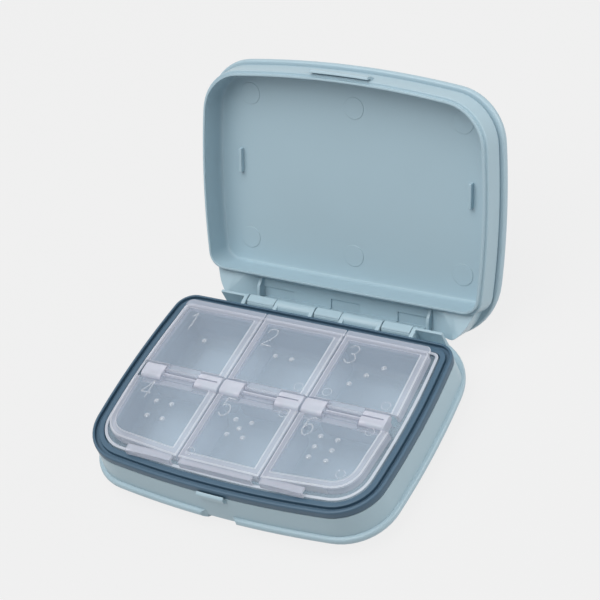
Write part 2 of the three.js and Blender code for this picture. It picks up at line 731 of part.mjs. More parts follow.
// Upper shell, drawn shut
function lidShell() {
  const rimZ = sealTopZ + gap;
  const tipZ = sealTopZ - grooveDepth + gap;
  const tongue = grooveHalfWidth - gap;
  const grooveZ = lidBeadZ - beadRadius;
  const outside = swept(sealForm, [
    [lidRimFace - gap, rimZ],
    [lidRimFace, rimZ + gap],
    [wallFaceBottom, grooveZ],
    [wallFaceBottom, lidBeadZ],
  ]);
  const plate = swept(plateForm, [
    [wallFaceBottom - beadStep, grooveZ],
    [-beadRadius / 4, lidBeadZ - beadRadius / 2],
    [0, lidBeadZ],
    [-beadRadius / 5, lidBeadZ + beadRadius / 2],
    [-beadRadius, shellTopZ - beadRadius / 3],
    [-beadRadius - beadRadius, shellTopZ],
  ]);
  const tongueRing = swept(sealForm, [
    [-tongue, tipZ], [tongue, tipZ], [tongue, rimZ + gap], [-tongue, rimZ + gap],
  ], true);
  const hollow = swept(sealForm, [
    [-lidWallInside, rimZ - overrun - overrun],
    [-lidWallInside, shellTopZ - lidRoof - beadRadius],
    [-lidWallInside - beadRadius / 2, shellTopZ - lidRoof - beadRadius / 3],
    [-lidWallInside - beadRadius, shellTopZ - lidRoof],
  ]);
  const ribs = bothSides((side) => block(
    ...span(side, ribX - ribThickness / 2, ribX + ribThickness / 2), ribStart, ribEnd,
    shellTopZ - lidRoof - ribHeight, shellTopZ - lidRoof + gap,
  ));
  const tabFace = grooveHalfWidth + sealOuterLip + gap;
  const tab = portion(
    swept(sealForm, [
      [tabFace, tabTipZ], [tabFace + tabThickness, tabTipZ + gap],
      [tabFace + tabThickness, rimZ + tabThickness], [wallFaceBottom - gap, tabTopZ],
      [lidRimFace - gap, tabTopZ], [lidRimFace - gap, rimZ + tabThickness], [tabFace, rimZ + tabThickness],
    ], true),
    -tabHalfWidth, tabHalfWidth, plateForm.frontY - overrun, 0, tabTipZ, tabTopZ,
  );
  const leafBack = hingeY + barrelRadius;
  const leafFront = leafBack - leafThickness;
  const leaf = block(-outerKnuckleEnd, outerKnuckleEnd, leafFront, leafBack, hingeZ, lidBeadZ);
  const placed = (side) => (
    rampOutline.map(([across, back]) => [side * (sealHalfWidth - across), sealBackY + back])
  );
  const underRamp = plateAcross([
    [sealBackY - beadStep, 0], [plateForm.backY, 0], [plateForm.backY, rampLowZ],
    [sealBackY + rampBend, rampLowZ], [sealBackY, rimZ + rampRise], [sealBackY - beadStep, rimZ + rampRise],
  ], 0, sealHalfWidth);
  const slope = plateAcross([
    [0, 0], [rampEndX, 0], [rampEndX, rampEndZ], [gussetX, flangeZ], [0, flangeZ],
  ], -plateForm.backY, 0).rotate([0, 0, -90]);
  const ramp = slab([[gussetX, placed(1)[0][1]], ...placed(1), [gussetX, sealBackY]], rampLowZ, lidBeadZ)
    .subtract(underRamp)
    .subtract(slope);
  const flangeCorners = [...placed(1).reverse(), ...placed(-1)];
  const flange = slab(flangeCorners, flangeZ, lidBeadZ);
  const barrelRoom = bothSides((side) => bar(
    barrelRadius + gap, ...span(side, knuckleHalfWidth, baseBarrelEnd + gap), hingeY, hingeZ,
  ));
  const knuckles = joined([
    bar(barrelRadius, -knuckleHalfWidth, knuckleHalfWidth, hingeY, hingeZ),
    bothSides((side) => bar(barrelRadius, ...span(side, baseBarrelEnd + gap, outerKnuckleEnd), hingeY, hingeZ)),
  ]);
  const gussetShape = [
    ...gussetNose.map(([back, z]) => [sealBackY + back, z]), [leafFront + gap, gussetNose.at(-1)[1]],
    [leafFront + gap, flangeZ + gap], [sealBackY + overrun, flangeZ + gap],
    [sealBackY + overrun, gussetNose[0][1]],
  ];
  const gussets = bothSides((side) => (
    plateAcross(gussetShape, ...span(side, gussetX, gussetX + gussetThickness))
  ));
  const lowerBarrelCut = bothSides((side) => block(
    ...span(side, knuckleHalfWidth, baseBarrelEnd + gap), sealBackY, plateForm.backY, 0, hingeZ,
  ));
  return outside
    .add(plate)
    .add(tab)
    .add(leaf)
    .add(ramp)
    .add(ramp.mirror([1, 0, 0]))
    .add(flange)
    .add(gussets)
    .subtract(barrelRoom)
    .subtract(lowerBarrelCut)
    .add(knuckles)
    .add(tongueRing)
    .subtract(hollow)
    .add(ribs)
    .subtract(bar(pinRadius + gap, -sealHalfWidth, sealHalfWidth, hingeY, hingeZ));
}

// A body as a named mesh
function piece(name, body, look) {
  const result = body.getMesh();
  const geometry = new THREE.BufferGeometry();
  geometry.setAttribute('position', new THREE.Float32BufferAttribute(result.vertProperties, result.numProp));
  geometry.setIndex(Array.from(result.triVerts));
  geometry.computeVertexNormals();
  const mesh = new THREE.Mesh(geometry, new THREE.MeshStandardMaterial(look));
  mesh.name = name;
  return mesh;
}

const pillBox = new THREE.Group();
pillBox.add(piece('base_shell', baseShell(), shellLook));
pillBox.add(piece('seal_gasket', sealGasket(), sealLook));
pillBox.add(piece('pill_tray', pillTray(), clearLook));
pillBox.add(piece('hinge_pin', hingePin(), steelLook));
[0, 1, 2, 3, 4, 5].forEach((index) => {
  pillBox.add(piece(`compartment_lid_${index + 1}`, compartmentLid(index), clearLook));
});

const lidGroup = new THREE.Group();
lidGroup.position.set(0, hingeY, hingeZ);
lidGroup.rotation.x = -THREE.MathUtils.degToRad(openDegrees);
const shell = piece('lid_shell', lidShell(), shellLook);
shell.position.set(0, -hingeY, -hingeZ);
lidGroup.add(shell);
pillBox.add(lidGroup);

export default pillBox;
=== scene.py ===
# Travel pill box: the finished look of the base shell, the soft seal, the clear tray of six cells
# with their small lids, the hinge pin and the upper shell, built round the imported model.
import math

import bmesh
import bpy
import numpy as np
from mathutils import Matrix, Vector


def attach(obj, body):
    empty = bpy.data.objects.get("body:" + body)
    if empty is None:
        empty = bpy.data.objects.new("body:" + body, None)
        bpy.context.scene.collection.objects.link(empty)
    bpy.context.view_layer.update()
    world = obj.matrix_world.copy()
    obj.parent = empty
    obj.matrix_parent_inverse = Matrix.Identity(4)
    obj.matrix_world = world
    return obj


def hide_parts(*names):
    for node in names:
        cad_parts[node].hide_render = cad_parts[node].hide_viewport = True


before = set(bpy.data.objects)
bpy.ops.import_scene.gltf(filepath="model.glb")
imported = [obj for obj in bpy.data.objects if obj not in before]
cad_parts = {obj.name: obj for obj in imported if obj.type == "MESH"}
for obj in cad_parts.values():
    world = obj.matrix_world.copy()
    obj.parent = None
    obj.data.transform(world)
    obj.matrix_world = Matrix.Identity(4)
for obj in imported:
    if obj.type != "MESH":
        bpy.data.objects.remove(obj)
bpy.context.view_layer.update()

# Sizes below are millimetres, and a finished mesh is scaled to metres
MM = 0.001

# The seal's groove, whose middle line every wall follows
seal_half_width = 49.9
seal_front_y = -33.2
seal_back_y = 33.2
side_bow_radius = 265
front_bow_radius = 340
back_bow_radius = 6000
seal_front_corner = 13.7
seal_back_corner = 4.9
least_corner = 0.4

# Heights
seating_z = 15.6
seal_top_z = 18.1
shell_top_z = 28.8

# Bead round the foot and round the upper shell
bead_step = 3.45
base_bead_z = 6.05
lid_bead_z = 26.3
bead_radius = 1.5
back_corner = 22

# Shell walls
clearance = 0.3
overrun = 1
wall_face_bottom = 2.0
wall_face_top = 1.45
wall_inside = 1.7
floor_thickness = 2
foot_inset = 8
lid_rim_face = 1.3
lid_wall_inside = 0.2
lid_roof = 2
inner_fillet = 2.2
tongue_extra = 0.1
crown_drop = 0.25

# Fine groove between the upper shell's wall and its bead
shadow_depth = 0.75
shadow_start = 0.4
shadow_low = 0.25
shadow_high = 0.35

# Seal
groove_half_width = 0.65
seal_outer_lip = 0.95
seal_inner_band = 1.75
groove_depth = 1.25
lip_round = 0.4
seal_draft = 0.1

# Hinge
hinge_y = 40.6
hinge_z = 12
barrel_radius = 2.3
pin_radius = 1
open_degrees = 120
knuckle_half_width = 4.6
ear_thickness = 1.35
ear_end = 31.25
outer_knuckle_end = 29.6
base_barrel_end = 19.35
pin_inset = 0.2
bore_end = 30.75
back_overhang = 4.8
wing_end = 40.1
wing_top_z = 14.3
wing_top_reach = 0.8
wing_top_thickness = 1
wing_foot_reach = 2.2
wing_thickness = 1.5
leaf_thickness = 1.5
knuckle_flat = 0.35
knuckle_groove = 0.25
recess_depth = 0.5
recess_reach = 3
recess_past = 0.7
outer_pocket_z = 10
edge_round = 0.2
edge_softness = 0.18

# Ramps between the hinge and the back corners of the upper shell, seen from above
ramp_outline = [(39.5, 42.6), (41.5, 41.8), (43.2, 40.1), (45.0, 37.5), (46.8, 33.4)]
ramp_low_z = 16.5
ramp_bend = 8
ramp_rise = 1.1
ramp_end = (40.5, 17)
flange_z = 21.4
gusset_x = 30.4
gusset_thickness = 1.1
gusset_nose = [(35.2, 20.5), (37.5, 18.8), (39.0, 18.5)]

# Catch at the front
catch_half_width = 4.7
catch_face = 2.85
catch_thickness = 0.95
catch_tip = 0.3
catch_top_z = 16.6
catch_drop = 0.5
catch_root_z = 12.4
catch_swell = 0.45
catch_swell_rise = 1.5
catch_swell_top = 0.6
tab_half_width = 10.3
tab_tip_z = 17.3
tab_top_z = 21.5
tab_thickness = 0.85
notch_half_width = 4.7
notch_mouth = 2.2
notch_start = 0.1
notch_flare = 0.6
notch_under_z = 5.2

# Tray
tray_rim_z = 18.45
tray_rim_width = 1
tray_ledge_drop = 0.6
tray_ledge_z = tray_rim_z - tray_ledge_drop
tray_wall = 1
tray_draft = 0.4
tray_floor = 1
cell_pitch = 29
cell_wall = 1.5
rail_wall = 2.4
rail_y = 0.2
cell_corner = 2

# Compartment lids
lid_top_z = 21.4
lid_plate = 1.1
lid_skirt = 1
lid_side_inset = 4.5
lid_front_inset = 4.8
lid_back_y = 28.6
lid_front_corner = 9
lid_back_corner = 2
seam_gap = 0.4
lid_chamfer = 0.7
plateau_step = 0.3
plateau_inset = 2.1
plateau_slope = 0.3
pivot_spread = 1.6
pivot_drop = 1
lid_barrel_radius = 1
peg_radius = 0.55
peg_length = 1.5
post_radius = 1.2
post_reach = 7.6
post_end_reach = 8.8
slot_width = 0.5
slot_forward = 0.1
slot_stop = 1.2
notch_clear = 1.5
lid_open_edge = 0.8
crest_width = 0.6
crest_drop = 0.9
finger_lip_reach = 1.6
flange_drop = 0.3
flange_under_ease = 0.15
flange_top_ease = 0.22
finger_lip_drop = 2.2
finger_lip_thickness = 0.8
dot_radius = 0.85
dot_height = 0.5
back_dots_y = 14.7
front_dots_y = -13.8
digit_width = 3.3
digit_height = 6.6
digit_radius = 0.24
digit_side = 8.2
digit_forward = 6.55
ring_mark_radius = 1.4
ring_mark_line = 0.13

# Where one material ends and the next begins, for the real finishes and the painted light alike: a face's
# slope, from 0 upright to 1 flat, and bands of height
flat_slope = 0.99
level_slope = 0.97
shelf_slope = 0.3
upright_slope = 0.15
face_band = 0.02
mark_band = 0.03
rail_band = 0.1
rim_band = 0.2
plateau_band = 0.25
seam_band = 0.6

# Details inside the upper shell
rib_x = 41.4
rib_start = -5.2
rib_end = 2.8
rib_thickness = 1.15
rib_height = 1.8
ejector_radius = 3.5
ejector_height = 0.12
ejector_places = [(-38, -23.3), (0, -23), (38, -23.3), (-38.7, 24.5), (0, 24.7), (38.7, 24.5)]

# Facets
front_steps = 40
bow_steps = 12
bend_steps = 12
soft_steps = 4
corner_steps = 8
round_sides = 40
line_sides = 10
ring_line_sides = 8
dome_rows = 6
smooth_angle = math.radians(32)

# Shares of the size that they go with
longest_trim_share = 0.48
dome_end_share = 0.92
line_end_share = 0.7
line_tip_share = 0.6
foot_corner_share = 0.8
bead_turn_share = 0.8
bead_shoulder_share = 0.2
crown_start_share = 1.6
crown_end_share = 8

seal_form = dict(
    half_width=seal_half_width, front_y=seal_front_y, back_y=seal_back_y,
    side_bow=side_bow_radius, front_bow=front_bow_radius, back_bow=back_bow_radius,
    front_corner=seal_front_corner, back_corner=seal_back_corner,
)
plate_form = dict(
    half_width=seal_half_width + bead_step, front_y=seal_front_y - bead_step,
    back_y=hinge_y + back_overhang,
    side_bow=side_bow_radius + bead_step, front_bow=front_bow_radius + bead_step,
    back_bow=back_bow_radius,
    front_corner=seal_front_corner + bead_step, back_corner=back_corner,
)


# Outlines
def arc(centre, radius, start, end, steps):
    """Points along an arc, without its last point"""
    angle = np.linspace(start, end, steps, endpoint=False)
    return centre + radius * np.stack([np.cos(angle), np.sin(angle)], 1)


def crossing(a, radius_a, b, radius_b, side):
    """Where two circles cross, on the side that a direction points to"""
    between = b - a
    apart = np.linalg.norm(between)
    along = (radius_a**2 - radius_b**2 + apart**2) / (apart + apart)
    across = math.sqrt(max(radius_a**2 - along**2, 0))
    step = between / apart
    reach = np.array([-step[1], step[0]]) * across
    return a + step * along + (reach if reach @ side > 0 else -reach)


def angle_of(start, end):
    return math.atan2(end[1] - start[1], end[0] - start[0])


def outline(form, offset):
    """A bowed outline with round corners, moved out by an offset, the same count of points each time"""
    side_centre = np.array([form["half_width"] - form["side_bow"], 0.0])
    front_centre = np.array([0.0, form["front_y"] + form["front_bow"]])
    back_centre = np.array([0.0, form["back_y"] - form["back_bow"]])
    side_radius, front_radius, back_radius = (
        form[f"{way}_bow"] + offset for way in ("side", "front", "back")
    )
    front_bend, back_bend = (max(form[f"{way}_corner"] + offset, least_corner) for way in ("front", "back"))
    in_front = crossing(
        side_centre, side_radius - front_bend, front_centre, front_radius - front_bend, (1, -1),
    )
    behind = crossing(side_centre, side_radius - back_bend, back_centre, back_radius - back_bend, (1, 1))
    front_end = angle_of(front_centre, in_front)
    side_start = angle_of(side_centre, in_front)
    side_end = angle_of(side_centre, behind)
    back_start = angle_of(back_centre, behind)
    right = np.concatenate([
        arc(front_centre, front_radius, -math.pi / 2, front_end, front_steps),
        arc(in_front, front_bend, front_end, side_start, bend_steps),
        arc(side_centre, side_radius, side_start, side_end, bow_steps),
        arc(behind, back_bend, side_end, back_start, bend_steps),
        arc(back_centre, back_radius, back_start, math.pi / 2, bow_steps),
        [[0.0, form["back_y"] + offset]],
    ])
    left = right[1:-1][::-1] * (-1, 1)
    return np.concatenate([right, left])


def rounded_polygon(corners, inset):
    """A polygon of (x, y, radius) corners with straight edges and round corners, moved in by an inset"""
    points = np.array([corner[:2] for corner in corners], float)
    steps = np.roll(points, -1, 0) - points
    steps /= np.linalg.norm(steps, axis=1)[:, None]
    normals = np.stack([-steps[:, 1], steps[:, 0]], 1)
    starts = points + normals * inset
    result = []
    for i, corner in enumerate(corners):
        before, after = steps[i - 1], steps[i]
        turn = before[0] * after[1] - before[1] * after[0]
        shift = starts[i] - starts[i - 1]
        reach = (shift[0] * after[1] - shift[1] * after[0]) / turn
        tip = starts[i - 1] + before * reach
        radius = max(corner[2] - inset, least_corner)
        bend = math.acos(np.clip(before @ after, -1, 1))
        trim = radius * math.tan(bend / 2)
        centre = tip - before * trim + normals[i - 1] * radius
        start = math.atan2(-before[0], before[1])
        result.append(arc(centre, radius, start, start + bend, corner_steps))
        result.append([tip + after * trim])
    return np.concatenate(result)


def at(points, z):
    """An outline lifted to a height"""
    return np.column_stack([points, np.full(len(points), float(z))])


# Solids
def in_scene(name, data):
    """A new object in the scene, which holds the given data"""
    thing = bpy.data.objects.new(name, data)
    bpy.context.scene.collection.objects.link(thing)
    return thing


def softened(rows, radii, closed=False):
    """Rows of points with a round bend in place of each row's crease"""
    result = []
    for i, radius in enumerate(radii):
        if radius == 0 or (not closed and i in (0, len(rows) - 1)):
            result.append(rows[i])
            continue
        before = rows[i - 1] - rows[i]
        after = rows[(i + 1) % len(rows)] - rows[i]
        start, end = (
            rows[i] + way * np.minimum(
                radius / np.maximum(np.linalg.norm(way, axis=1), 1e-9), longest_trim_share,
            )[:, None]
            for way in (before, after)
        )
        for t in np.linspace(0, 1, soft_steps + 1):
            result.append((1 - t) ** 2 * start + 2 * t * (1 - t) * rows[i] + t**2 * end)
    return result


def layered(rows, closed=False):
    """A body from rows of points, with a flat face on each end unless the rows close on themselves"""
    count = len(rows[0])
    faces = []
    pairs = len(rows) if closed else len(rows) - 1
    for row in range(pairs):
        low = row * count
        high = (row + 1) % len(rows) * count
        for i in range(count):
            j = (i + 1) % count
            faces.append((low + i, low + j, high + j, high + i))
    if not closed:
        faces.append(tuple(reversed(range(count))))
        faces.append(tuple(range((len(rows) - 1) * count, len(rows) * count)))
    mesh = bpy.data.meshes.new("layered")
    mesh.from_pydata(np.concatenate(rows).tolist(), [], faces)
    whole = bmesh.new()
    whole.from_mesh(mesh)
    bmesh.ops.recalc_face_normals(whole, faces=whole.faces)
    whole.to_mesh(mesh)
    whole.free()
    return in_scene("layered", mesh)


def swept(form, section, closed=False):
    """A body whose section is a list of (offset, height, bend) round a form or a form of its own"""
    rows = [at(outline(own[0] if own else form, offset), z) for offset, z, _, *own in section]
    return layered(softened(rows, [level[2] for level in section], closed), closed)


def eased(body, edge):
    """The same body with all its edges rounded"""
    if edge > 0:
        whole = bmesh.new()
        whole.from_mesh(body.data)
        bmesh.ops.bevel(
            whole, geom=whole.edges[:], offset=edge, segments=3, profile=0.5, affect="EDGES",
            clamp_overlap=True,
        )
        whole.to_mesh(body.data)
        whole.free()
    return body


def prism(points, x0, x1, edge=edge_round):
    """A flat shape in the Y-Z plane, made thick along X"""
    return eased(layered([np.array([(x, y, z) for y, z in points], float) for x in (x0, x1)]), edge)


def slab(corners, z0, z1, edge=0.0):
    """A flat shape seen from above, made thick upward"""
    return eased(layered([at(corners, z0), at(corners, z1)]), edge)


def block(x0, x1, y0, y1, z0, z1, edge=0.0):
    return prism([(y0, z0), (y1, z0), (y1, z1), (y0, z1)], x0, x1, edge)


def disc(radius, centre, across=(1, 0, 0), along=(0, 1, 0), sides=round_sides):
    """A ring of points round a centre, flat or in the plane of two other directions"""
    turn = np.linspace(0, 2 * math.pi, sides, endpoint=False)[:, None]
    return centre + radius * np.cos(turn) * across + radius * np.sin(turn) * along


def rod(radius, x0, x1, y, z, edge=edge_round):
    """A round bar along X, with eased ends"""
    steps = [(radius - edge, x0), (radius - edge / 3, x0 + edge / 3), (radius, x0 + edge)]
    steps += [(radius, x1 - edge), (radius - edge / 3, x1 - edge / 3), (radius - edge, x1)]
    return layered([disc(size, (x, y, z), (0, 1, 0), (0, 0, 1)) for size, x in steps])


def button(x, y, z0, z1, radius, dome):
    """An upright round stud whose top is a dome of the given height"""
    rows = [disc(radius, (x, y, z0))]
    for t in np.linspace(0, dome_end_share, dome_rows):
        rows.append(disc(radius * math.sqrt(1 - t**2), (x, y, z1 - dome + dome * t)))
    return layered(rows)


def applied(body, kind, others, operation):
    """Joins or cuts a body with others, which are used up"""
    for other in others:
        modifier = body.modifiers.new(kind, "BOOLEAN")
        modifier.solver = "MANIFOLD"
        modifier.operation = operation
        modifier.object = other
    bpy.context.view_layer.update()
    shape = body.evaluated_get(bpy.context.evaluated_depsgraph_get())
    result = bpy.data.meshes.new_from_object(shape)
    body.modifiers.clear()
    body.data = result
    for other in others:
        bpy.data.objects.remove(other)
    return body


def joined(body, *others):
    return applied(body, "join", others, "UNION")


def cut(body, *others):
    return applied(body, "cut", others, "DIFFERENCE")


def common(body, other):
    return applied(body, "keep", [other], "INTERSECT")


def both_sides(make):
    return [make(1), make(-1)]


def span(side, near, far):
    return (near, far) if side > 0 else (-far, -near)


def turned_open(body):
    """The upper shell is drawn shut, and this turns it open on its pin"""
    hinge = Matrix.Translation((0, hinge_y, hinge_z))
    body.data.transform(hinge @ Matrix.Rotation(-math.radians(open_degrees), 4, "X") @ hinge.inverted())
    return body


def finished(body, name, material, ride_on, node):
    """Scales a body to metres, shades it and ties it to the frame"""
    body.name = name
    mesh = body.data
    mesh.name = name
    mesh.transform(Matrix.Scale(MM, 4))
    mesh.materials.clear()
    mesh.materials.append(material)
    mesh.polygons.foreach_set("material_index", np.zeros(len(mesh.polygons), int))
    mesh.shade_smooth()
    mesh.set_sharp_from_angle(angle=smooth_angle)
    weighted = body.modifiers.new("flat faces stay flat", "WEIGHTED_NORMAL")
    weighted.keep_sharp = True
    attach(body, ride_on)
    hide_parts(node)
    return body


def with_finishes_and_painted_light(body, materials, pick):
    """Gives each face the material that a rule picks from its middle in millimetres and its slope, among them
    materials with painted light
    """
    mesh = body.data
    for material in materials:
        mesh.materials.append(material)
    for face in mesh.polygons:
        face.material_index = pick(face.center / MM, face.normal.z)


def lid_finish_and_painted_light(middle, upward):
    """0 the frosted border, 1 the clear middle, 2 its outline and the seams, painted bright: a painted
    highlight on the outline's slopes and painted light in place of the shade in the seams, 3 the raised
    marks, painted paler as glints
    """
    # Raised marks are painted paler and hazier than the panel, standing in for their glints
    if middle.z > lid_top_z + mark_band:
        return 3
    if upward > flat_slope and middle.z > lid_top_z - face_band:
        return 1
    if upward < -flat_slope and abs(middle.z - (lid_top_z - lid_plate)) < face_band:
        return 1
    # Sloping faces of the outline get a painted highlight, and the upright walls of the seams get painted
    # light in place of their shade
    sloping = upright_slope < upward < level_slope and middle.z > lid_top_z - plateau_step - plateau_band
    seam = abs(upward) < upright_slope and middle.z > lid_top_z - lid_plate - seam_band
    return 2 if (sloping or seam) and abs(middle.y - rail_y) > pivot_spread + notch_clear else 0


def tray_finish_and_painted_light(middle, upward):
    """0 the clear cells, 1 the top of the rim, painted pale as a highlight, 2 the rail, hazy and painted
    paler against its shade
    """
    # The rail above the rim is hazy like the lids' frosted edge, and painted paler still in place of the
    # shade between the lids
    if middle.z > tray_rim_z + rail_band:
        return 2
    # Rim faces that look up are painted pale and hazy as a highlight
    return int(upward > shelf_slope and middle.z > tray_rim_z - rim_band)


# Base shell
def base_shell():
    bead_under = base_bead_z - bead_radius
    bead_over = base_bead_z + bead_radius
    ledge_z = seating_z - clearance
    foot = swept(plate_form, [
        (-foot_inset, 0, 0),
        (-bead_radius * bead_turn_share, bead_under - bead_radius / 3, 2.2),
        (0, base_bead_z, 0.9),
        (-bead_radius / 4, bead_over - bead_radius * bead_shoulder_share, 0.45),
        (wall_face_bottom - bead_step, bead_over, 0),
    ])
    wall = swept(seal_form, [
        (wall_face_bottom, base_bead_z, 0),
        (wall_face_bottom, bead_over, 0.5),
        (wall_face_top, ledge_z, 0),
    ])
    well = swept(seal_form, [
        (-wall_inside - floor_thickness - bead_radius, floor_thickness, 0),
        (-wall_inside, floor_thickness + bead_radius, 1.2),
        (-wall_inside, seating_z + overrun, 0),
    ])
    ring_back = seal_back_y + wall_face_bottom
    window_end = ear_end - ear_thickness / 2
    pocket_floor = base_bead_z - floor_thickness + clearance
    wing_foot_y = hinge_y + wing_foot_reach
    wing_top_y = hinge_y + wing_top_reach
    ring_room = swept(seal_form, [
        (wall_face_bottom, 0, 0), (wall_face_bottom, bead_over, 0.5), (wall_face_top, seating_z, 0),
    ])

    def hollow_behind(end, floor_z):
        return block(
            -end, end, seal_back_y - seal_back_corner, wing_foot_y - wing_thickness,
            floor_z, wing_top_z + overrun,
        )

    hollows = joined(hollow_behind(ear_end, pocket_floor), hollow_behind(wing_end, outer_pocket_z))
    pocket = cut(hollows, ring_room)
    wing_shape = [
        (wing_foot_y - wing_thickness, base_bead_z), (wing_foot_y, base_bead_z),
        (wing_top_y, wing_top_z), (wing_top_y - wing_top_thickness, wing_top_z),
    ]
    wings = both_sides(lambda side: prism(wing_shape, *span(side, window_end, wing_end)))
    window = block(
        -window_end, window_end, ring_back, plate_form["back_y"] + overrun, base_bead_z, shell_top_z,
    )
    ear_floor = pocket_floor - clearance
    ear_shape = [
        (seal_back_y, ear_floor),
        (hinge_y, ear_floor),
        (hinge_y, hinge_z - barrel_radius - leaf_thickness + clearance),
        (hinge_y - barrel_radius / 2, hinge_z - barrel_radius + clearance),
        (hinge_y, hinge_z),
        (hinge_y, hinge_z + barrel_radius),
        (seal_back_y, hinge_z + barrel_radius / 2),
    ]
    barrel_start = knuckle_half_width + clearance

    def hinge_side(side):
        pieces = []
        for near in (barrel_start, base_barrel_end - ear_thickness, ear_end - ear_thickness):
            ends = span(side, near, near + ear_thickness)
            pieces += [prism(ear_shape, *ends), rod(barrel_radius, *ends, hinge_y, hinge_z)]
        ends = span(side, barrel_start, base_barrel_end)
        pieces.append(rod(barrel_radius, *ends, hinge_y, hinge_z))
        pieces.append(block(*ends, seal_back_y, hinge_y, hinge_z - barrel_radius / 2, hinge_z))
        return pieces

    def front_piece(section, z0, z1, half_width, edge):
        return common(swept(seal_form, section, closed=True), block(
            -half_width, half_width, seal_front_y - bead_step - overrun, 0, z0, z1, edge,
        ))

    inner = catch_face - catch_thickness
    catch_fin = front_piece([
        (inner, ledge_z - clearance, 0), (inner, catch_top_z, 0.1), (inner + catch_tip, catch_top_z, 0.15),
        (catch_face, catch_top_z - catch_drop, 0.3), (catch_face, ledge_z - clearance, 0),
    ], ledge_z - clearance - overrun, catch_top_z + overrun, catch_half_width, 0.5)
    catch_root = front_piece([
        (0, catch_root_z, 0), (wall_face_top, catch_root_z, 0),
        (wall_face_top + catch_swell, catch_root_z + catch_swell_rise, 0.6),
        (catch_face, ledge_z - catch_swell_top, 0.4), (catch_face, ledge_z, 0), (0, ledge_z, 0),
    ], catch_root_z - overrun, ledge_z, catch_half_width, 0.5)
    notch_depth = bead_step - wall_face_bottom
    front_y = plate_form["front_y"]
    t = np.linspace(0, 1, 9)
    right_end = np.stack([
        notch_half_width + notch_mouth * (1 - t),
        front_y - notch_start + (notch_depth + notch_start) * t * t * (3 - t - t),
    ], 1)
    mouth = np.array([[notch_half_width + notch_mouth, front_y - overrun - overrun]])
    right_end = np.concatenate([mouth, right_end, [[notch_half_width, 0]]])
    bead_notch = common(
        swept(plate_form, [
            (overrun, -overrun, 0), (overrun, wing_top_z, 0),
            (-notch_depth, wing_top_z, 0), (-notch_depth, -overrun, 0),
        ], closed=True),
        slab(
            np.concatenate([right_end, right_end[::-1] * (-1, 1)]), -overrun - overrun, wing_top_z,
        ),
    )
    cut(foot, pocket)
    joined(foot, wall)
    cut(foot, window)
    joined(foot, *wings, *hinge_side(1), *hinge_side(-1))
    under_end = notch_half_width + notch_flare
    cut(foot, bead_notch, slab([
        (-under_end, front_y - overrun), (under_end, front_y - overrun),
        (notch_half_width, seal_front_y), (-notch_half_width, seal_front_y),
    ], -overrun, notch_under_z))
    joined(foot, catch_root)
    cut(foot, well)
    joined(foot, catch_fin)
    return cut(foot, rod(pin_radius + clearance, -ear_end - overrun, bore_end, hinge_y, hinge_z, 0))


# Soft seal
def seal_gasket():
    outer = groove_half_width + seal_outer_lip
    inner = -groove_half_width - seal_inner_band
    return swept(seal_form, [
        (outer - seal_draft, seating_z, 0.15),
        (outer, seal_top_z - lip_round, 0.9),
        (outer - lip_round, seal_top_z, 0.35),
        (groove_half_width, seal_top_z, 0.3),
        (groove_half_width, seal_top_z - groove_depth, 0.2),
        (-groove_half_width, seal_top_z - groove_depth, 0.2),
        (-groove_half_width, seal_top_z, 0.35),
        (inner, seal_top_z, 0.3),
        (inner, seating_z, 0.1),
    ], closed=True)


# Places of the six lids, in their columns and rows
seams = [(column - 0.5) * cell_pitch for column in (-1, 0, 1, 2)]
pivot_z = lid_top_z - pivot_drop


def place_of(index):
    """A lid's column, its side of the rail and its pivot's y"""
    side = 1 if index < 3 else -1
    return index % 3, side, rail_y + side * pivot_spread


# Tray
def pill_tray():
    rim_offset = -groove_half_width - seal_inner_band - clearance
    wall_offset = -lid_side_inset
    cell_offset = wall_offset - tray_wall
    bottom_z = floor_thickness + clearance
    tray = swept(seal_form, [
        (wall_offset - tray_draft - cell_corner, bottom_z, 0),
        (wall_offset - tray_draft, bottom_z + cell_corner, 1.2),
        (wall_offset, seating_z - tray_wall, 0.4),
        (rim_offset, seating_z, 0.2),
        (rim_offset, tray_rim_z, 0.3),
        (rim_offset - tray_rim_width, tray_rim_z, 0.3),
        (rim_offset - tray_rim_width, tray_ledge_z, 0),
    ])
    cells_within = swept(seal_form, [
        (cell_offset - tray_draft - cell_corner, bottom_z + tray_floor, 0),
        (cell_offset - tray_draft, bottom_z + tray_floor + cell_corner, 1.4),
        (cell_offset, tray_rim_z + overrun, 0),
    ])
    shafts = []
    for index in range(6):
        column, side, _ = place_of(index)
        x0 = -seal_half_width if column == 0 else seams[column] + cell_wall / 2
        x1 = seal_half_width if column == 2 else seams[column + 1] - cell_wall / 2
        y0, y1 = sorted((rail_y + side * rail_wall / 2, side * (seal_back_y + bead_step)))
        corners = [(x, y, cell_corner) for x, y in ((x0, y0), (x1, y0), (x1, y1), (x0, y1))]
        rows = [
            at(rounded_polygon(corners, tray_draft + cell_corner * foot_corner_share), bottom_z + tray_floor),
            at(rounded_polygon(corners, tray_draft), bottom_z + tray_floor + cell_corner),
            at(rounded_polygon(corners, 0), tray_rim_z + overrun),
        ]
        shafts.append(layered(softened(rows, [0, 1.4, 0])))
    cells = joined(shafts[0], *shafts[1:])
    crest = block(
        seams[0] + cell_wall, seams[-1] - cell_wall, rail_y - crest_width / 2, rail_y + crest_width / 2,
        tray_ledge_z - tray_wall, lid_top_z - crest_drop, 0.15,
    )
    return joined(cut(tray, common(cells, cells_within)), crest, *tray_posts())


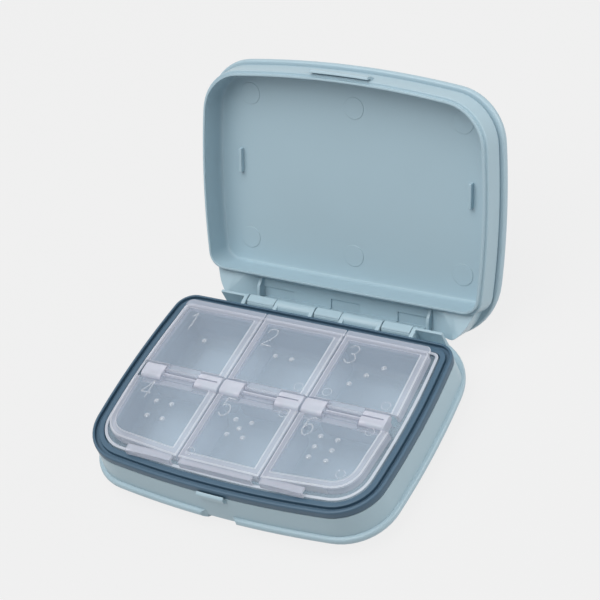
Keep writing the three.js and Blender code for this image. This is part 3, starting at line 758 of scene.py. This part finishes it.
def tray_posts():
    """Posts on the tray's middle wall, with a blind hole for each lid's pegs"""
    back_y = rail_y + pivot_spread
    front_y = rail_y - pivot_spread

    def post(x0, x1):
        return joined(
            block(x0, x1, front_y, back_y, tray_ledge_z - post_radius, pivot_z + post_radius, 0.02),
            rod(post_radius, x0, x1, back_y, pivot_z),
            rod(post_radius, x0, x1, front_y, pivot_z),
        )

    def peg_holes(x0, x1):
        return [rod(peg_radius + clearance, x0, x1, y, pivot_z, 0) for y in (front_y, back_y)]

    posts = []
    slot_y = rail_y + slot_forward
    for seam in seams[:-1]:
        left_end = seam + post_reach
        left_holes = peg_holes(left_end - peg_length - clearance, left_end + overrun)
        posts.append(cut(post(seam + seam_gap, left_end), *left_holes))
        right_start = seam + cell_pitch - post_end_reach
        right_end = seam + cell_pitch - seam_gap
        right_holes = peg_holes(right_start - overrun, right_start + peg_length + clearance)
        slot = block(
            right_start - overrun, right_end - slot_stop, slot_y, slot_y + slot_width,
            pivot_z, lid_top_z + overrun,
        )
        posts.append(cut(post(right_start, right_end), *right_holes, slot))
    return posts


# Strokes of the numbers, as shares of a number's width and height
digit_shares = {
    1: [[(0.22, 0.78), (0.6, 1)], [(0.6, 1), (0.6, 0)]],
    2: [
        [
            (0.02, 0.75), (0.15, 0.94), (0.5, 1), (0.88, 0.93), (0.97, 0.72), (0.8, 0.48), (0.4, 0.22),
            (0.02, 0),
        ],
        [(0.02, 0), (1, 0)],
    ],
    3: [
        [(0.05, 0.86), (0.25, 0.98), (0.6, 1), (0.9, 0.88), (0.92, 0.7), (0.75, 0.56), (0.42, 0.52)],
        [(0.42, 0.52), (0.8, 0.48), (1, 0.3), (0.95, 0.12), (0.65, 0), (0.3, 0.01), (0.02, 0.14)],
    ],
    4: [[(0.72, 0), (0.72, 1)], [(0.72, 1), (0, 0.3)], [(0, 0.3), (1, 0.3)]],
    5: [
        [(0.92, 1), (0.18, 1)],
        [(0.18, 1), (0.1, 0.56)],
        [
            (0.1, 0.56), (0.4, 0.64), (0.75, 0.6), (0.98, 0.4), (0.95, 0.14), (0.65, 0), (0.3, 0),
            (0.03, 0.12),
        ],
    ],
    6: [
        [
            (0.85, 0.95), (0.55, 1), (0.2, 0.85), (0.03, 0.5), (0.05, 0.2), (0.3, 0.01), (0.65, 0),
            (0.95, 0.18), (0.95, 0.42), (0.65, 0.6), (0.3, 0.57), (0.07, 0.4),
        ],
    ],
}

# Raised dots on each lid, as shares of the pitch from the middle of the dots
dot_shares = {
    1: [(0, 0)],
    2: [(-0.1, 0), (0.1, 0)],
    3: [(0.14, 0.135), (0, 0), (-0.13, -0.145)],
    4: [(-0.097, 0.1), (0.097, 0.1), (-0.097, -0.1), (0.097, -0.1)],
    5: [(-0.097, 0.1), (0.097, 0.1), (0, 0), (-0.097, -0.1), (0.097, -0.1)],
    6: [(-0.1, 0.135), (0.1, 0.135), (-0.1, 0), (0.1, 0), (-0.1, -0.135), (0.1, -0.135)],
}

# Ring marks on four of the lids
ring_marks = {
    2: [(10.2, 5.6)], 3: [(20, 5.9), (40.2, 5.6)],
    5: [(10.6, -4.9), (-10.9, -25.4)], 6: [(39.8, -4.5), (38.4, -20.8)],
}

# The front lids' finger lips, as shares of the pitch from the lid's middle to each end of the lip
finger_lip_shares = {4: (-0.12, 0.45), 5: (-0.45, 0.43), 6: (-0.47, 0.03)}


def smooth_line(points, steps=6):
    """A smooth curve through points"""
    points = np.asarray(points, float)
    if len(points) == 2:
        return points
    padded = np.concatenate([[2 * points[0] - points[1]], points, [2 * points[-1] - points[-2]]])
    curve = []
    for i in range(len(points) - 1):
        a, b, c, d = padded[i:i + 4]
        square = 2 * a - 5 * b + 4 * c - d
        cube = 3 * b - a - 3 * c + d
        for t in np.linspace(0, 1, steps, endpoint=False):
            curve.append(0.5 * (2 * b + (c - a) * t + square * t**2 + cube * t**3))
    curve.append(points[-1])
    return np.array(curve)


def raised_line(points, z, radius):
    """A round bead along a line that lies on a flat face"""
    along = np.gradient(points, axis=0)
    along /= np.linalg.norm(along, axis=1)[:, None]
    first = [points[0] - along[0] * radius * line_end_share]
    last = [points[-1] + along[-1] * radius * line_end_share]
    centres = np.concatenate([first, points, last])
    ways = np.concatenate([along[:1], along, along[-1:]])
    tip = radius * line_tip_share
    sizes = [tip] + [radius] * len(points) + [tip]
    return layered([
        disc(size, (x, y, z), (-way[1], way[0], 0), (0, 0, 1), line_sides)
        for (x, y), way, size in zip(centres, ways, sizes)
    ])


def lid_corners(index, back_y=lid_back_y):
    """Corners of a lid, anticlockwise from the front left"""
    column, row_side, pivot_y = place_of(index)
    edge_y = pivot_y - row_side * lid_open_edge
    front_y = seal_front_y + lid_front_inset

    def corner(side, y, radius, bow_radius=math.inf):
        outer = column == side + 1
        if outer:
            x = side * (seal_half_width - lid_side_inset - y**2 / (side_bow_radius + side_bow_radius))
        else:
            x = seams[column + (side + 1) // 2] - side * seam_gap / 2
        return x, y + x**2 / (bow_radius + bow_radius), radius if outer else least_corner

    if row_side > 0:
        return [
            corner(-1, edge_y, least_corner), corner(1, edge_y, least_corner),
            corner(1, back_y, lid_back_corner), corner(-1, back_y, lid_back_corner),
        ]
    return [
        corner(-1, front_y, lid_front_corner, front_bow_radius),
        corner(1, front_y, lid_front_corner, front_bow_radius),
        corner(1, edge_y, least_corner), corner(-1, edge_y, least_corner),
    ]


def compartment_lid(index):
    column, side, pivot_y = place_of(index)
    corners = lid_corners(index)
    skirt_z = tray_ledge_z + clearance

    def level(inset, z):
        return at(rounded_polygon(corners, inset), z)

    outside = layered(softened([
        level(0, skirt_z),
        level(0, lid_top_z - lid_chamfer),
        level(lid_chamfer, lid_top_z - plateau_step),
        level(plateau_inset, lid_top_z - plateau_step),
        level(plateau_inset + plateau_slope, lid_top_z),
    ], [0, 0.25, 0.2, 0.08, 0]))
    inside = layered(softened([
        level(lid_skirt, skirt_z - overrun),
        level(lid_skirt, lid_top_z - lid_plate - lid_chamfer),
        level(lid_skirt + lid_chamfer, lid_top_z - lid_plate),
    ], [0, 0.4, 0]))
    seam = seams[column]
    end = seam + cell_pitch
    barrel_start = seam + post_reach + clearance
    barrel_end = end - post_end_reach - clearance
    notch_y = pivot_y + side * notch_clear
    far_y = rail_y - side * lid_back_y

    low = skirt_z - overrun
    high = lid_top_z + overrun
    cuts = [
        block(seam - cell_pitch / 2, barrel_start, *sorted((far_y, notch_y)), low, high),
        block(barrel_end, end + cell_pitch / 2, *sorted((far_y, notch_y)), low, high),
        block(barrel_start - overrun, barrel_end + overrun, *sorted((far_y, pivot_y)), low, high),
    ]
    wall_y = sorted((notch_y, notch_y + side * lid_skirt))
    wall_z = (pivot_z - pivot_drop, lid_top_z - lid_chamfer)
    adds = [
        block(seam + cell_wall, barrel_start, *wall_y, *wall_z, 0.1),
        block(barrel_end, end - cell_wall, *wall_y, *wall_z, 0.1),
        rod(lid_barrel_radius, barrel_start, barrel_end, pivot_y, pivot_z, 0.1),
        rod(peg_radius, barrel_start - peg_length, barrel_end + peg_length, pivot_y, pivot_z, 0.1),
        block(
            barrel_start, barrel_end, *sorted((pivot_y, notch_y + side * lid_skirt)),
            pivot_z - pivot_drop / 2, pivot_z + pivot_drop,
        ),
    ]
    cut(outside, inside)
    joined(outside, back_flange(index) if side > 0 else front_lip(index))
    lid = joined(cut(outside, *cuts), *adds)
    middle = (seam + end) / 2
    dots_y = back_dots_y if side > 0 else front_dots_y
    marks = []
    for across, along in dot_shares[index + 1]:
        marks.append(button(
            middle + across * cell_pitch, dots_y + along * cell_pitch,
            lid_top_z - lid_plate / 2, lid_top_z + dot_height, dot_radius, dot_height,
        ))
    left = middle - digit_side - digit_width / 2
    bottom = dots_y + digit_forward - digit_height / 2
    for shares in digit_shares[index + 1]:
        points = smooth_line(shares) * (digit_width, digit_height) + (left, bottom)
        marks.append(raised_line(points, lid_top_z, digit_radius))
    marks += [ring_mark(x, y) for x, y in ring_marks.get(index + 1, [])]
    return joined(lid, *marks)


def ring_mark(x, y):
    """A fine raised ring on a lid's flat top"""
    rows = []
    for angle in np.linspace(0, 2 * math.pi, round_sides, endpoint=False):
        way = np.array([math.cos(angle), math.sin(angle), 0])
        middle = np.array([x, y, lid_top_z]) + ring_mark_radius * way
        rows.append(disc(ring_mark_line, middle, way, (0, 0, 1), ring_line_sides))
    return layered(rows, closed=True)


def back_flange(index):
    """The flange along the back of a back lid, for a finger"""
    corners = lid_corners(index, lid_back_y + finger_lip_reach)
    top_z = lid_top_z - flange_drop
    low_z = top_z - finger_lip_thickness
    rows = [
        (flange_under_ease, low_z), (0, low_z + flange_under_ease),
        (0, top_z - flange_top_ease), (flange_top_ease, top_z),
    ]
    return common(
        layered([at(rounded_polygon(corners, inset), z) for inset, z in rows]),
        block(-seal_half_width, seal_half_width, lid_back_y - lid_skirt, seal_back_y, 0, lid_top_z),
    )


def front_lip(index):
    """A front lid's finger lip, which turns down in front of the tray's rim"""
    middle = seams[place_of(index)[0]] + cell_pitch / 2
    start, end = finger_lip_shares[index + 1]
    inward = seal_front_y + lid_front_inset + lid_skirt
    outward = seal_front_y + lid_front_inset - finger_lip_reach
    back = outward + finger_lip_thickness
    top_z = lid_top_z - lid_chamfer
    under_z = top_z - finger_lip_thickness
    return prism([
        (inward, under_z), (back, under_z), (back, top_z - finger_lip_drop),
        (outward, top_z - finger_lip_drop), (outward, top_z), (inward, top_z),
    ], middle + start * cell_pitch, middle + end * cell_pitch, 0.18)


# Hinge pin
def hinge_pin():
    return rod(pin_radius, pin_inset - ear_end, bore_end - clearance, hinge_y, hinge_z)


# Upper shell, drawn shut
def lid_shell():
    rim_z = seal_top_z + clearance
    tip_z = seal_top_z - groove_depth + clearance
    tongue = groove_half_width - clearance + tongue_extra
    groove_z = lid_bead_z - bead_radius
    groove_top_z = groove_z + shadow_high
    inner_z = shell_top_z - lid_roof
    shell = swept(seal_form, [
        (-lid_wall_inside - inner_fillet, inner_z, 0),
        (-lid_wall_inside, inner_z, inner_fillet),
        (-lid_wall_inside, tip_z, 0.12),
        (tongue, tip_z, 0.15),
        (tongue, rim_z, 0.08),
        (lid_rim_face, rim_z, 0.35),
        (wall_face_bottom, groove_z - shadow_start, 0.25),
        (wall_face_bottom - shadow_depth, groove_z - shadow_low, 0.12),
        (wall_face_bottom - shadow_depth, groove_top_z, 0.12),
        (wall_face_bottom - bead_step, groove_top_z, 0.2, plate_form),
        (-bead_radius / 4, groove_top_z, 0.5, plate_form),
        (0, lid_bead_z, 0.8, plate_form),
        (-bead_radius * bead_shoulder_share, lid_bead_z + bead_radius * bead_turn_share, 0.9, plate_form),
        (-bead_radius * crown_start_share, shell_top_z - crown_drop, 1.2, plate_form),
        (-bead_radius * crown_end_share, shell_top_z, 0, plate_form),
    ])
    ribs = both_sides(lambda side: block(
        *span(side, rib_x - rib_thickness / 2, rib_x + rib_thickness / 2), rib_start, rib_end,
        inner_z - rib_height, inner_z + overrun, 0.3,
    ))
    marks = [
        layered([disc(ejector_radius, (x, y, z)) for z in (inner_z + overrun, inner_z - ejector_height)])
        for x, y in ejector_places
    ]
    return turned_open(joined(shell, *marks, *ribs, thumb_tab(rim_z), *hinge_flap(rim_z)))


def thumb_tab(rim_z):
    inside = groove_half_width + seal_outer_lip + clearance
    face = inside + tab_thickness
    return common(
        swept(seal_form, [
            (inside, tab_tip_z, 0.1), (face, tab_tip_z + clearance, 0.35), (face, rim_z + tab_thickness, 0.5),
            (wall_face_bottom - clearance, tab_top_z, 0), (lid_rim_face - clearance, tab_top_z, 0),
            (lid_rim_face - clearance, rim_z + tab_thickness, 0), (inside, rim_z + tab_thickness, 0.1),
        ], closed=True),
        block(
            -tab_half_width, tab_half_width, plate_form["front_y"] - overrun, 0,
            tab_tip_z - overrun, tab_top_z + overrun, 0.6,
        ),
    )


def hinge_ramp(rim_z, side):
    """The slope beside the hinge, from the leaf's end out to the upper shell's back corner"""
    edge = np.concatenate([
        [(gusset_x, ramp_outline[0][1])], smooth_line(ramp_outline, 4), [(gusset_x, seal_back_y)],
    ])
    ramp = slab(edge * (side, 1), ramp_low_z, lid_bead_z)
    under = prism([
        (seal_back_y - bead_step, 0), (plate_form["back_y"], 0), (plate_form["back_y"], ramp_low_z),
        (seal_back_y + ramp_bend, ramp_low_z), (seal_back_y, rim_z + ramp_rise),
        (seal_back_y - bead_step, rim_z + ramp_rise),
    ], -seal_half_width, seal_half_width, 0)
    slope = [(0, 0), (ramp_end[0], 0), ramp_end, (gusset_x, flange_z), (0, flange_z)]
    room = layered([
        np.array([(side * x, y, z) for x, z in slope], float) for y in (0, plate_form["back_y"] + overrun)
    ])
    return cut(ramp, under, room)


def knuckle_trim(start, end, leaf_front):
    """Cuts for a knuckle's flat top, the groove under it and the recess in the flange behind it"""
    turn = math.radians(open_degrees)
    up = np.array([-math.sin(turn), math.cos(turn)])
    ahead = np.array([-up[1], up[0]])
    centre = np.array([hinge_y, hinge_z])

    def bar(low, high, near, far):
        corners = ((low, near), (high, near), (high, far), (low, far))
        points = [tuple(centre + (up * rise + ahead * reach)) for rise, reach in corners]
        return prism(points, start - clearance / 2, end + clearance / 2, 0)

    flat = barrel_radius - knuckle_flat
    groove = flat - knuckle_groove
    return [
        bar(flat, flat + overrun, -barrel_radius, barrel_radius),
        bar(groove - knuckle_groove, groove, flat - knuckle_flat, barrel_radius),
        block(
            start - recess_past, end + recess_past, leaf_front - recess_reach, leaf_front + clearance,
            flange_z - overrun, flange_z + recess_depth,
        ),
    ]


def hinge_flap(rim_z):
    """The leaf, ramps and flange behind the upper shell's wall, with the knuckles"""
    leaf_back = hinge_y + barrel_radius
    leaf_front = leaf_back - leaf_thickness
    leaf = block(-outer_knuckle_end, outer_knuckle_end, leaf_front, leaf_back, hinge_z, lid_bead_z, 0.1)
    outside = smooth_line(ramp_outline, 4)
    flange = slab(np.concatenate([outside[::-1], outside * (-1, 1)]), flange_z, lid_bead_z)
    gusset_shape = gusset_nose + [
        (leaf_front + clearance, gusset_nose[-1][1]), (leaf_front + clearance, flange_z + clearance),
        (seal_back_y + overrun, flange_z + clearance), (seal_back_y + overrun, gusset_nose[0][1]),
    ]
    gussets = both_sides(lambda side: prism(gusset_shape, *span(side, gusset_x, gusset_x + gusset_thickness)))
    joined(leaf, hinge_ramp(rim_z, 1), hinge_ramp(rim_z, -1), flange, *gussets)
    gaps = both_sides(lambda side: span(side, knuckle_half_width, base_barrel_end + clearance))
    room = [rod(barrel_radius + clearance, *ends, hinge_y, hinge_z, 0) for ends in gaps]
    room += [block(*ends, seal_back_y, plate_form["back_y"], 0, hinge_z) for ends in gaps]
    cut(leaf, *room)
    knuckles = [(-knuckle_half_width, knuckle_half_width)]
    knuckles += both_sides(lambda side: span(side, base_barrel_end + clearance, outer_knuckle_end))
    joined(leaf, *[rod(barrel_radius, *ends, hinge_y, hinge_z) for ends in knuckles])
    for ends in sorted(knuckles):
        cut(leaf, *knuckle_trim(*ends, leaf_front))
    return [cut(leaf, rod(pin_radius + clearance, -seal_half_width, seal_half_width, hinge_y, hinge_z, 0))]


# Materials
def linear(red, green, blue):
    """A colour written as it is seen, from 0 to 255, turned into the shader's own numbers"""
    return tuple(
        channel / 255 / 12.92 if channel <= 10.3 else ((channel / 255 + 0.055) / 1.055) ** 2.4
        for channel in (red, green, blue)
    ) + (1.0,)


def with_inputs(node, **values):
    """A node with its inputs set, where an underscore stands for the space in an input's name"""
    for name, value in values.items():
        node.inputs[name.replace("_", " ")].default_value = value
    return node


def sum_node(nodes, operation, *values):
    """A maths node whose first inputs are set"""
    node = nodes.new("ShaderNodeMath")
    node.operation = operation
    for place, value in enumerate(values):
        node.inputs[place].default_value = value
    return node


def wired(links, *rows):
    """Links from rows of a node, its output, the next node and that one's input"""
    for source, output, target, given in rows:
        links.new(source.outputs[output], target.inputs[given])


def parts_of(material):
    """A material's nodes, links and Principled shader"""
    nodes = material.node_tree.nodes
    return nodes, material.node_tree.links, nodes["Principled BSDF"]


def moulded_surface():
    """Slow drifts of tone and a fine spark-eroded grain, for every moulded plastic"""
    group = bpy.data.node_groups.new("moulded surface", "ShaderNodeTree")
    for direction, labels in (
        ("INPUT", ("Colour", "Drift", "Grain size", "Roughness", "Roughness drift")),
        ("OUTPUT", ("Colour", "Roughness", "Grain")),
    ):
        for label in labels:
            kind = "NodeSocketColor" if label == "Colour" else "NodeSocketFloat"
            group.interface.new_socket(label, in_out=direction, socket_type=kind)
    nodes = group.nodes
    given = nodes.new("NodeGroupInput")
    result = nodes.new("NodeGroupOutput")
    place = nodes.new("ShaderNodeTexCoord")
    slow = with_inputs(nodes.new("ShaderNodeTexNoise"), Scale=28, Detail=2)
    grain = with_inputs(nodes.new("ShaderNodeTexNoise"), Detail=3)
    drift = with_inputs(nodes.new("ShaderNodeMapRange"), From_Min=0.3, From_Max=0.7, To_Min=1)
    low = sum_node(nodes, "SUBTRACT", 1)
    toned = nodes.new("ShaderNodeHueSaturation")
    rough = sum_node(nodes, "MULTIPLY_ADD")
    wired(
        group.links, (place, "Object", slow, "Vector"), (place, "Object", grain, "Vector"),
        (given, "Grain size", grain, "Scale"), (slow, "Fac", drift, "Value"), (given, "Drift", low, 1),
        (low, 0, drift, "To Max"), (drift, "Result", toned, "Value"), (given, "Colour", toned, "Color"),
        (grain, "Fac", rough, 0), (given, "Roughness drift", rough, 1), (given, "Roughness", rough, 2),
        (toned, "Color", result, "Colour"), (rough, 0, result, "Roughness"), (grain, "Fac", result, "Grain"),
    )
    return group


surface_group = moulded_surface()


def plastic(name, colour, roughness, grain_size, grain_depth, drift=0.03):
    """A moulded material with its own Principled shader"""
    material = bpy.data.materials.new(name)
    material.use_nodes = True
    nodes, links, shader = parts_of(material)
    surface = nodes.new("ShaderNodeGroup")
    surface.node_tree = surface_group
    with_inputs(
        surface, Colour=linear(*colour), Drift=drift, Grain_size=grain_size, Roughness=roughness,
        Roughness_drift=0.08,
    )
    bump = with_inputs(nodes.new("ShaderNodeBump"), Strength=1, Distance=grain_depth)
    edges = with_inputs(nodes.new("ShaderNodeBevel"), Radius=edge_softness * MM)
    edges.samples = 4
    wired(
        links, (surface, "Colour", shader, "Base Color"), (surface, "Roughness", shader, "Roughness"),
        (surface, "Grain", bump, "Height"), (edges, "Normal", bump, "Normal"),
        (bump, "Normal", shader, "Normal"),
    )
    return material


def clear_plastic(name, colour, roughness, haze, edge_haze):
    """See-through moulding: hazy face on, and whiter where it is seen edge on"""
    material = plastic(name, colour, roughness, 900, 0.000004, 0.02)
    nodes, links, shader = parts_of(material)
    with_inputs(shader, IOR=1.5)
    facing = with_inputs(nodes.new("ShaderNodeLayerWeight"), Blend=0.35)
    cover = with_inputs(nodes.new("ShaderNodeMapRange"), To_Min=haze, To_Max=edge_haze)
    wired(links, (facing, "Facing", cover, "Value"), (cover, "Result", shader, "Alpha"))
    return material


blue_shell = plastic("blue shell plastic", (166, 190, 201), 0.3, 1400, 0.000006)
navy_seal = plastic("navy silicone", (64, 93, 114), 0.42, 700, 0.00001, 0.05)
tray_plastic = clear_plastic("clear tray plastic", (196, 210, 222), 0.2, 0.11, 0.5)
# Pale and hazy on the rim's top faces: a painted highlight
rim_highlight_plastic = clear_plastic("tray rim with painted highlight", (214, 220, 230), 0.2, 0.65, 0.95)
# Hazy rail, painted paler than the cells in place of its shade
rail_painted_light_plastic = clear_plastic("hazy tray rail with painted light", (224, 226, 238), 0.2, 0.5, 0.85)
lid_plastic = clear_plastic("frosted lid edge", (214, 217, 230), 0.16, 0.27, 0.68)
panel_plastic = clear_plastic("clear lid panel", (202, 213, 230), 0.16, 0.07, 0.5)
# Bright and hazy: a painted highlight on the lids' outlines and painted light in the seams
highlight_line_plastic = clear_plastic("lid line with painted highlight", (226, 229, 238), 0.12, 0.42, 0.85)
# Paler and hazier than the panel as a painted glint; the IOR of 2.2 strengthens the real reflections of the
# lamps
painted_glint_mark_plastic = clear_plastic("glossy raised mark with painted glint", (228, 232, 240), 0.06, 0.25, 0.85)
with_inputs(parts_of(painted_glint_mark_plastic)[2], IOR=2.2)
steel = plastic("brushed steel", (190, 194, 198), 0.28, 2600, 0.000004, 0.05)
with_inputs(parts_of(steel)[2], Metallic=1)

# Pieces
base_body, upper_body = "base", "upper_shell"
finished(base_shell(), "base_shell_moulding", blue_shell, base_body, "base_shell")
finished(seal_gasket(), "soft_seal_ring", navy_seal, base_body, "seal_gasket")
tray = finished(pill_tray(), "six_cell_tray", tray_plastic, base_body, "pill_tray")
with_finishes_and_painted_light(tray, [rim_highlight_plastic, rail_painted_light_plastic], tray_finish_and_painted_light)
finished(hinge_pin(), "steel_pin", steel, base_body, "hinge_pin")
finished(lid_shell(), "upper_shell_moulding", blue_shell, upper_body, "lid_shell")
for lid_index in range(6):
    number = lid_index + 1
    cell_lid = finished(
        compartment_lid(lid_index), f"cell_lid_{number}", lid_plastic,
        f"small_lid_{number}", f"compartment_lid_{number}",
    )
    with_finishes_and_painted_light(cell_lid, [panel_plastic, highlight_line_plastic, painted_glint_mark_plastic], lid_finish_and_painted_light)

# Camera at the photograph's angle
camera_place = Vector((311.1, -295.2, 453.6)) * MM
camera_right = Vector((0.8481, 0.4536, -0.2737))
camera_up = Vector((-0.1663, 0.7184, 0.6754))
camera_back = Vector((0.503, -0.5273, 0.6848))
camera_data = bpy.data.cameras.new("photo camera")
camera_data.lens = 122.17
camera_data.sensor_width = 36
camera = in_scene("photo camera", camera_data)
camera.matrix_world = Matrix.Translation(camera_place) @ Matrix(
    (camera_right, camera_up, camera_back)
).transposed().to_4x4()
bpy.context.scene.camera = camera


# Floor, world and lamps
backdrop_tone = linear(241, 241, 241)
lamp_target = Vector((0, 0.02, 0.02))


def seen_directly(nodes, links):
    """1 for rays that come straight from the camera or by way of gloss or clear plastic"""
    path = nodes.new("ShaderNodeLightPath")
    gloss = sum_node(nodes, "MAXIMUM")
    clear = sum_node(nodes, "MAXIMUM")
    wired(
        links, (path, "Is Camera Ray", gloss, 0), (path, "Is Glossy Ray", gloss, 1),
        (gloss, 0, clear, 0), (path, "Is Transmission Ray", clear, 1),
    )
    return clear


def pale_floor():
    """A wide plain floor that keeps a little of its own shade where the camera sees it"""
    mesh = bpy.data.meshes.new("floor")
    half = 3.0
    corners = [(-half, -half, 0), (half, -half, 0), (half, half, 0), (-half, half, 0)]
    mesh.from_pydata(corners, [], [(0, 1, 2, 3)])
    floor = in_scene("floor", mesh)
    material = bpy.data.materials.new("pale floor")
    material.use_nodes = True
    nodes, links, shader = parts_of(material)
    with_inputs(shader, Base_Color=linear(214, 214, 214), Roughness=0.9, Specular_IOR_Level=0)
    glow = with_inputs(nodes.new("ShaderNodeEmission"), Color=backdrop_tone)
    share = sum_node(nodes, "MULTIPLY", 0.94)
    mix = nodes.new("ShaderNodeMixShader")
    wired(
        links, (seen_directly(nodes, links), 0, share, 1), (share, 0, mix, 0), (shader, 0, mix, 1),
        (glow, 0, mix, 2), (mix, 0, nodes["Material Output"], "Surface"),
    )
    mesh.materials.append(material)


def soft_world(strength):
    """Even light from all round, with the pale backdrop where it is seen directly"""
    world = bpy.data.worlds.new("studio")
    bpy.context.scene.world = world
    world.use_nodes = True
    nodes, links = world.node_tree.nodes, world.node_tree.links
    light = with_inputs(nodes["Background"], Color=(1, 1, 1, 1), Strength=strength)
    pale = with_inputs(nodes.new("ShaderNodeBackground"), Color=backdrop_tone)
    mix = nodes.new("ShaderNodeMixShader")
    wired(
        links, (seen_directly(nodes, links), 0, mix, 0), (light, 0, mix, 1), (pale, 0, mix, 2),
        (mix, 0, nodes["World Output"], "Surface"),
    )


def soft_lamp(name, place, size, watts):
    """A round softbox that faces the pill box"""
    data = bpy.data.lights.new(name, "AREA")
    data.shape = "DISK"
    data.size = size
    data.energy = watts
    lamp = in_scene(name, data)
    lamp.location = place
    lamp.rotation_euler = (lamp_target - Vector(place)).to_track_quat("-Z", "Y").to_euler()


pale_floor()
soft_world(0.25)
soft_lamp("key softbox", (-0.1, -0.16, 0.9), 1.0, 8.2)
soft_lamp("fill softbox", (0.8, 0.4, 0.4), 0.6, 3.5)

scene = bpy.context.scene
scene.view_settings.view_transform = "Standard"
scene.cycles.transparent_max_bounces = 24
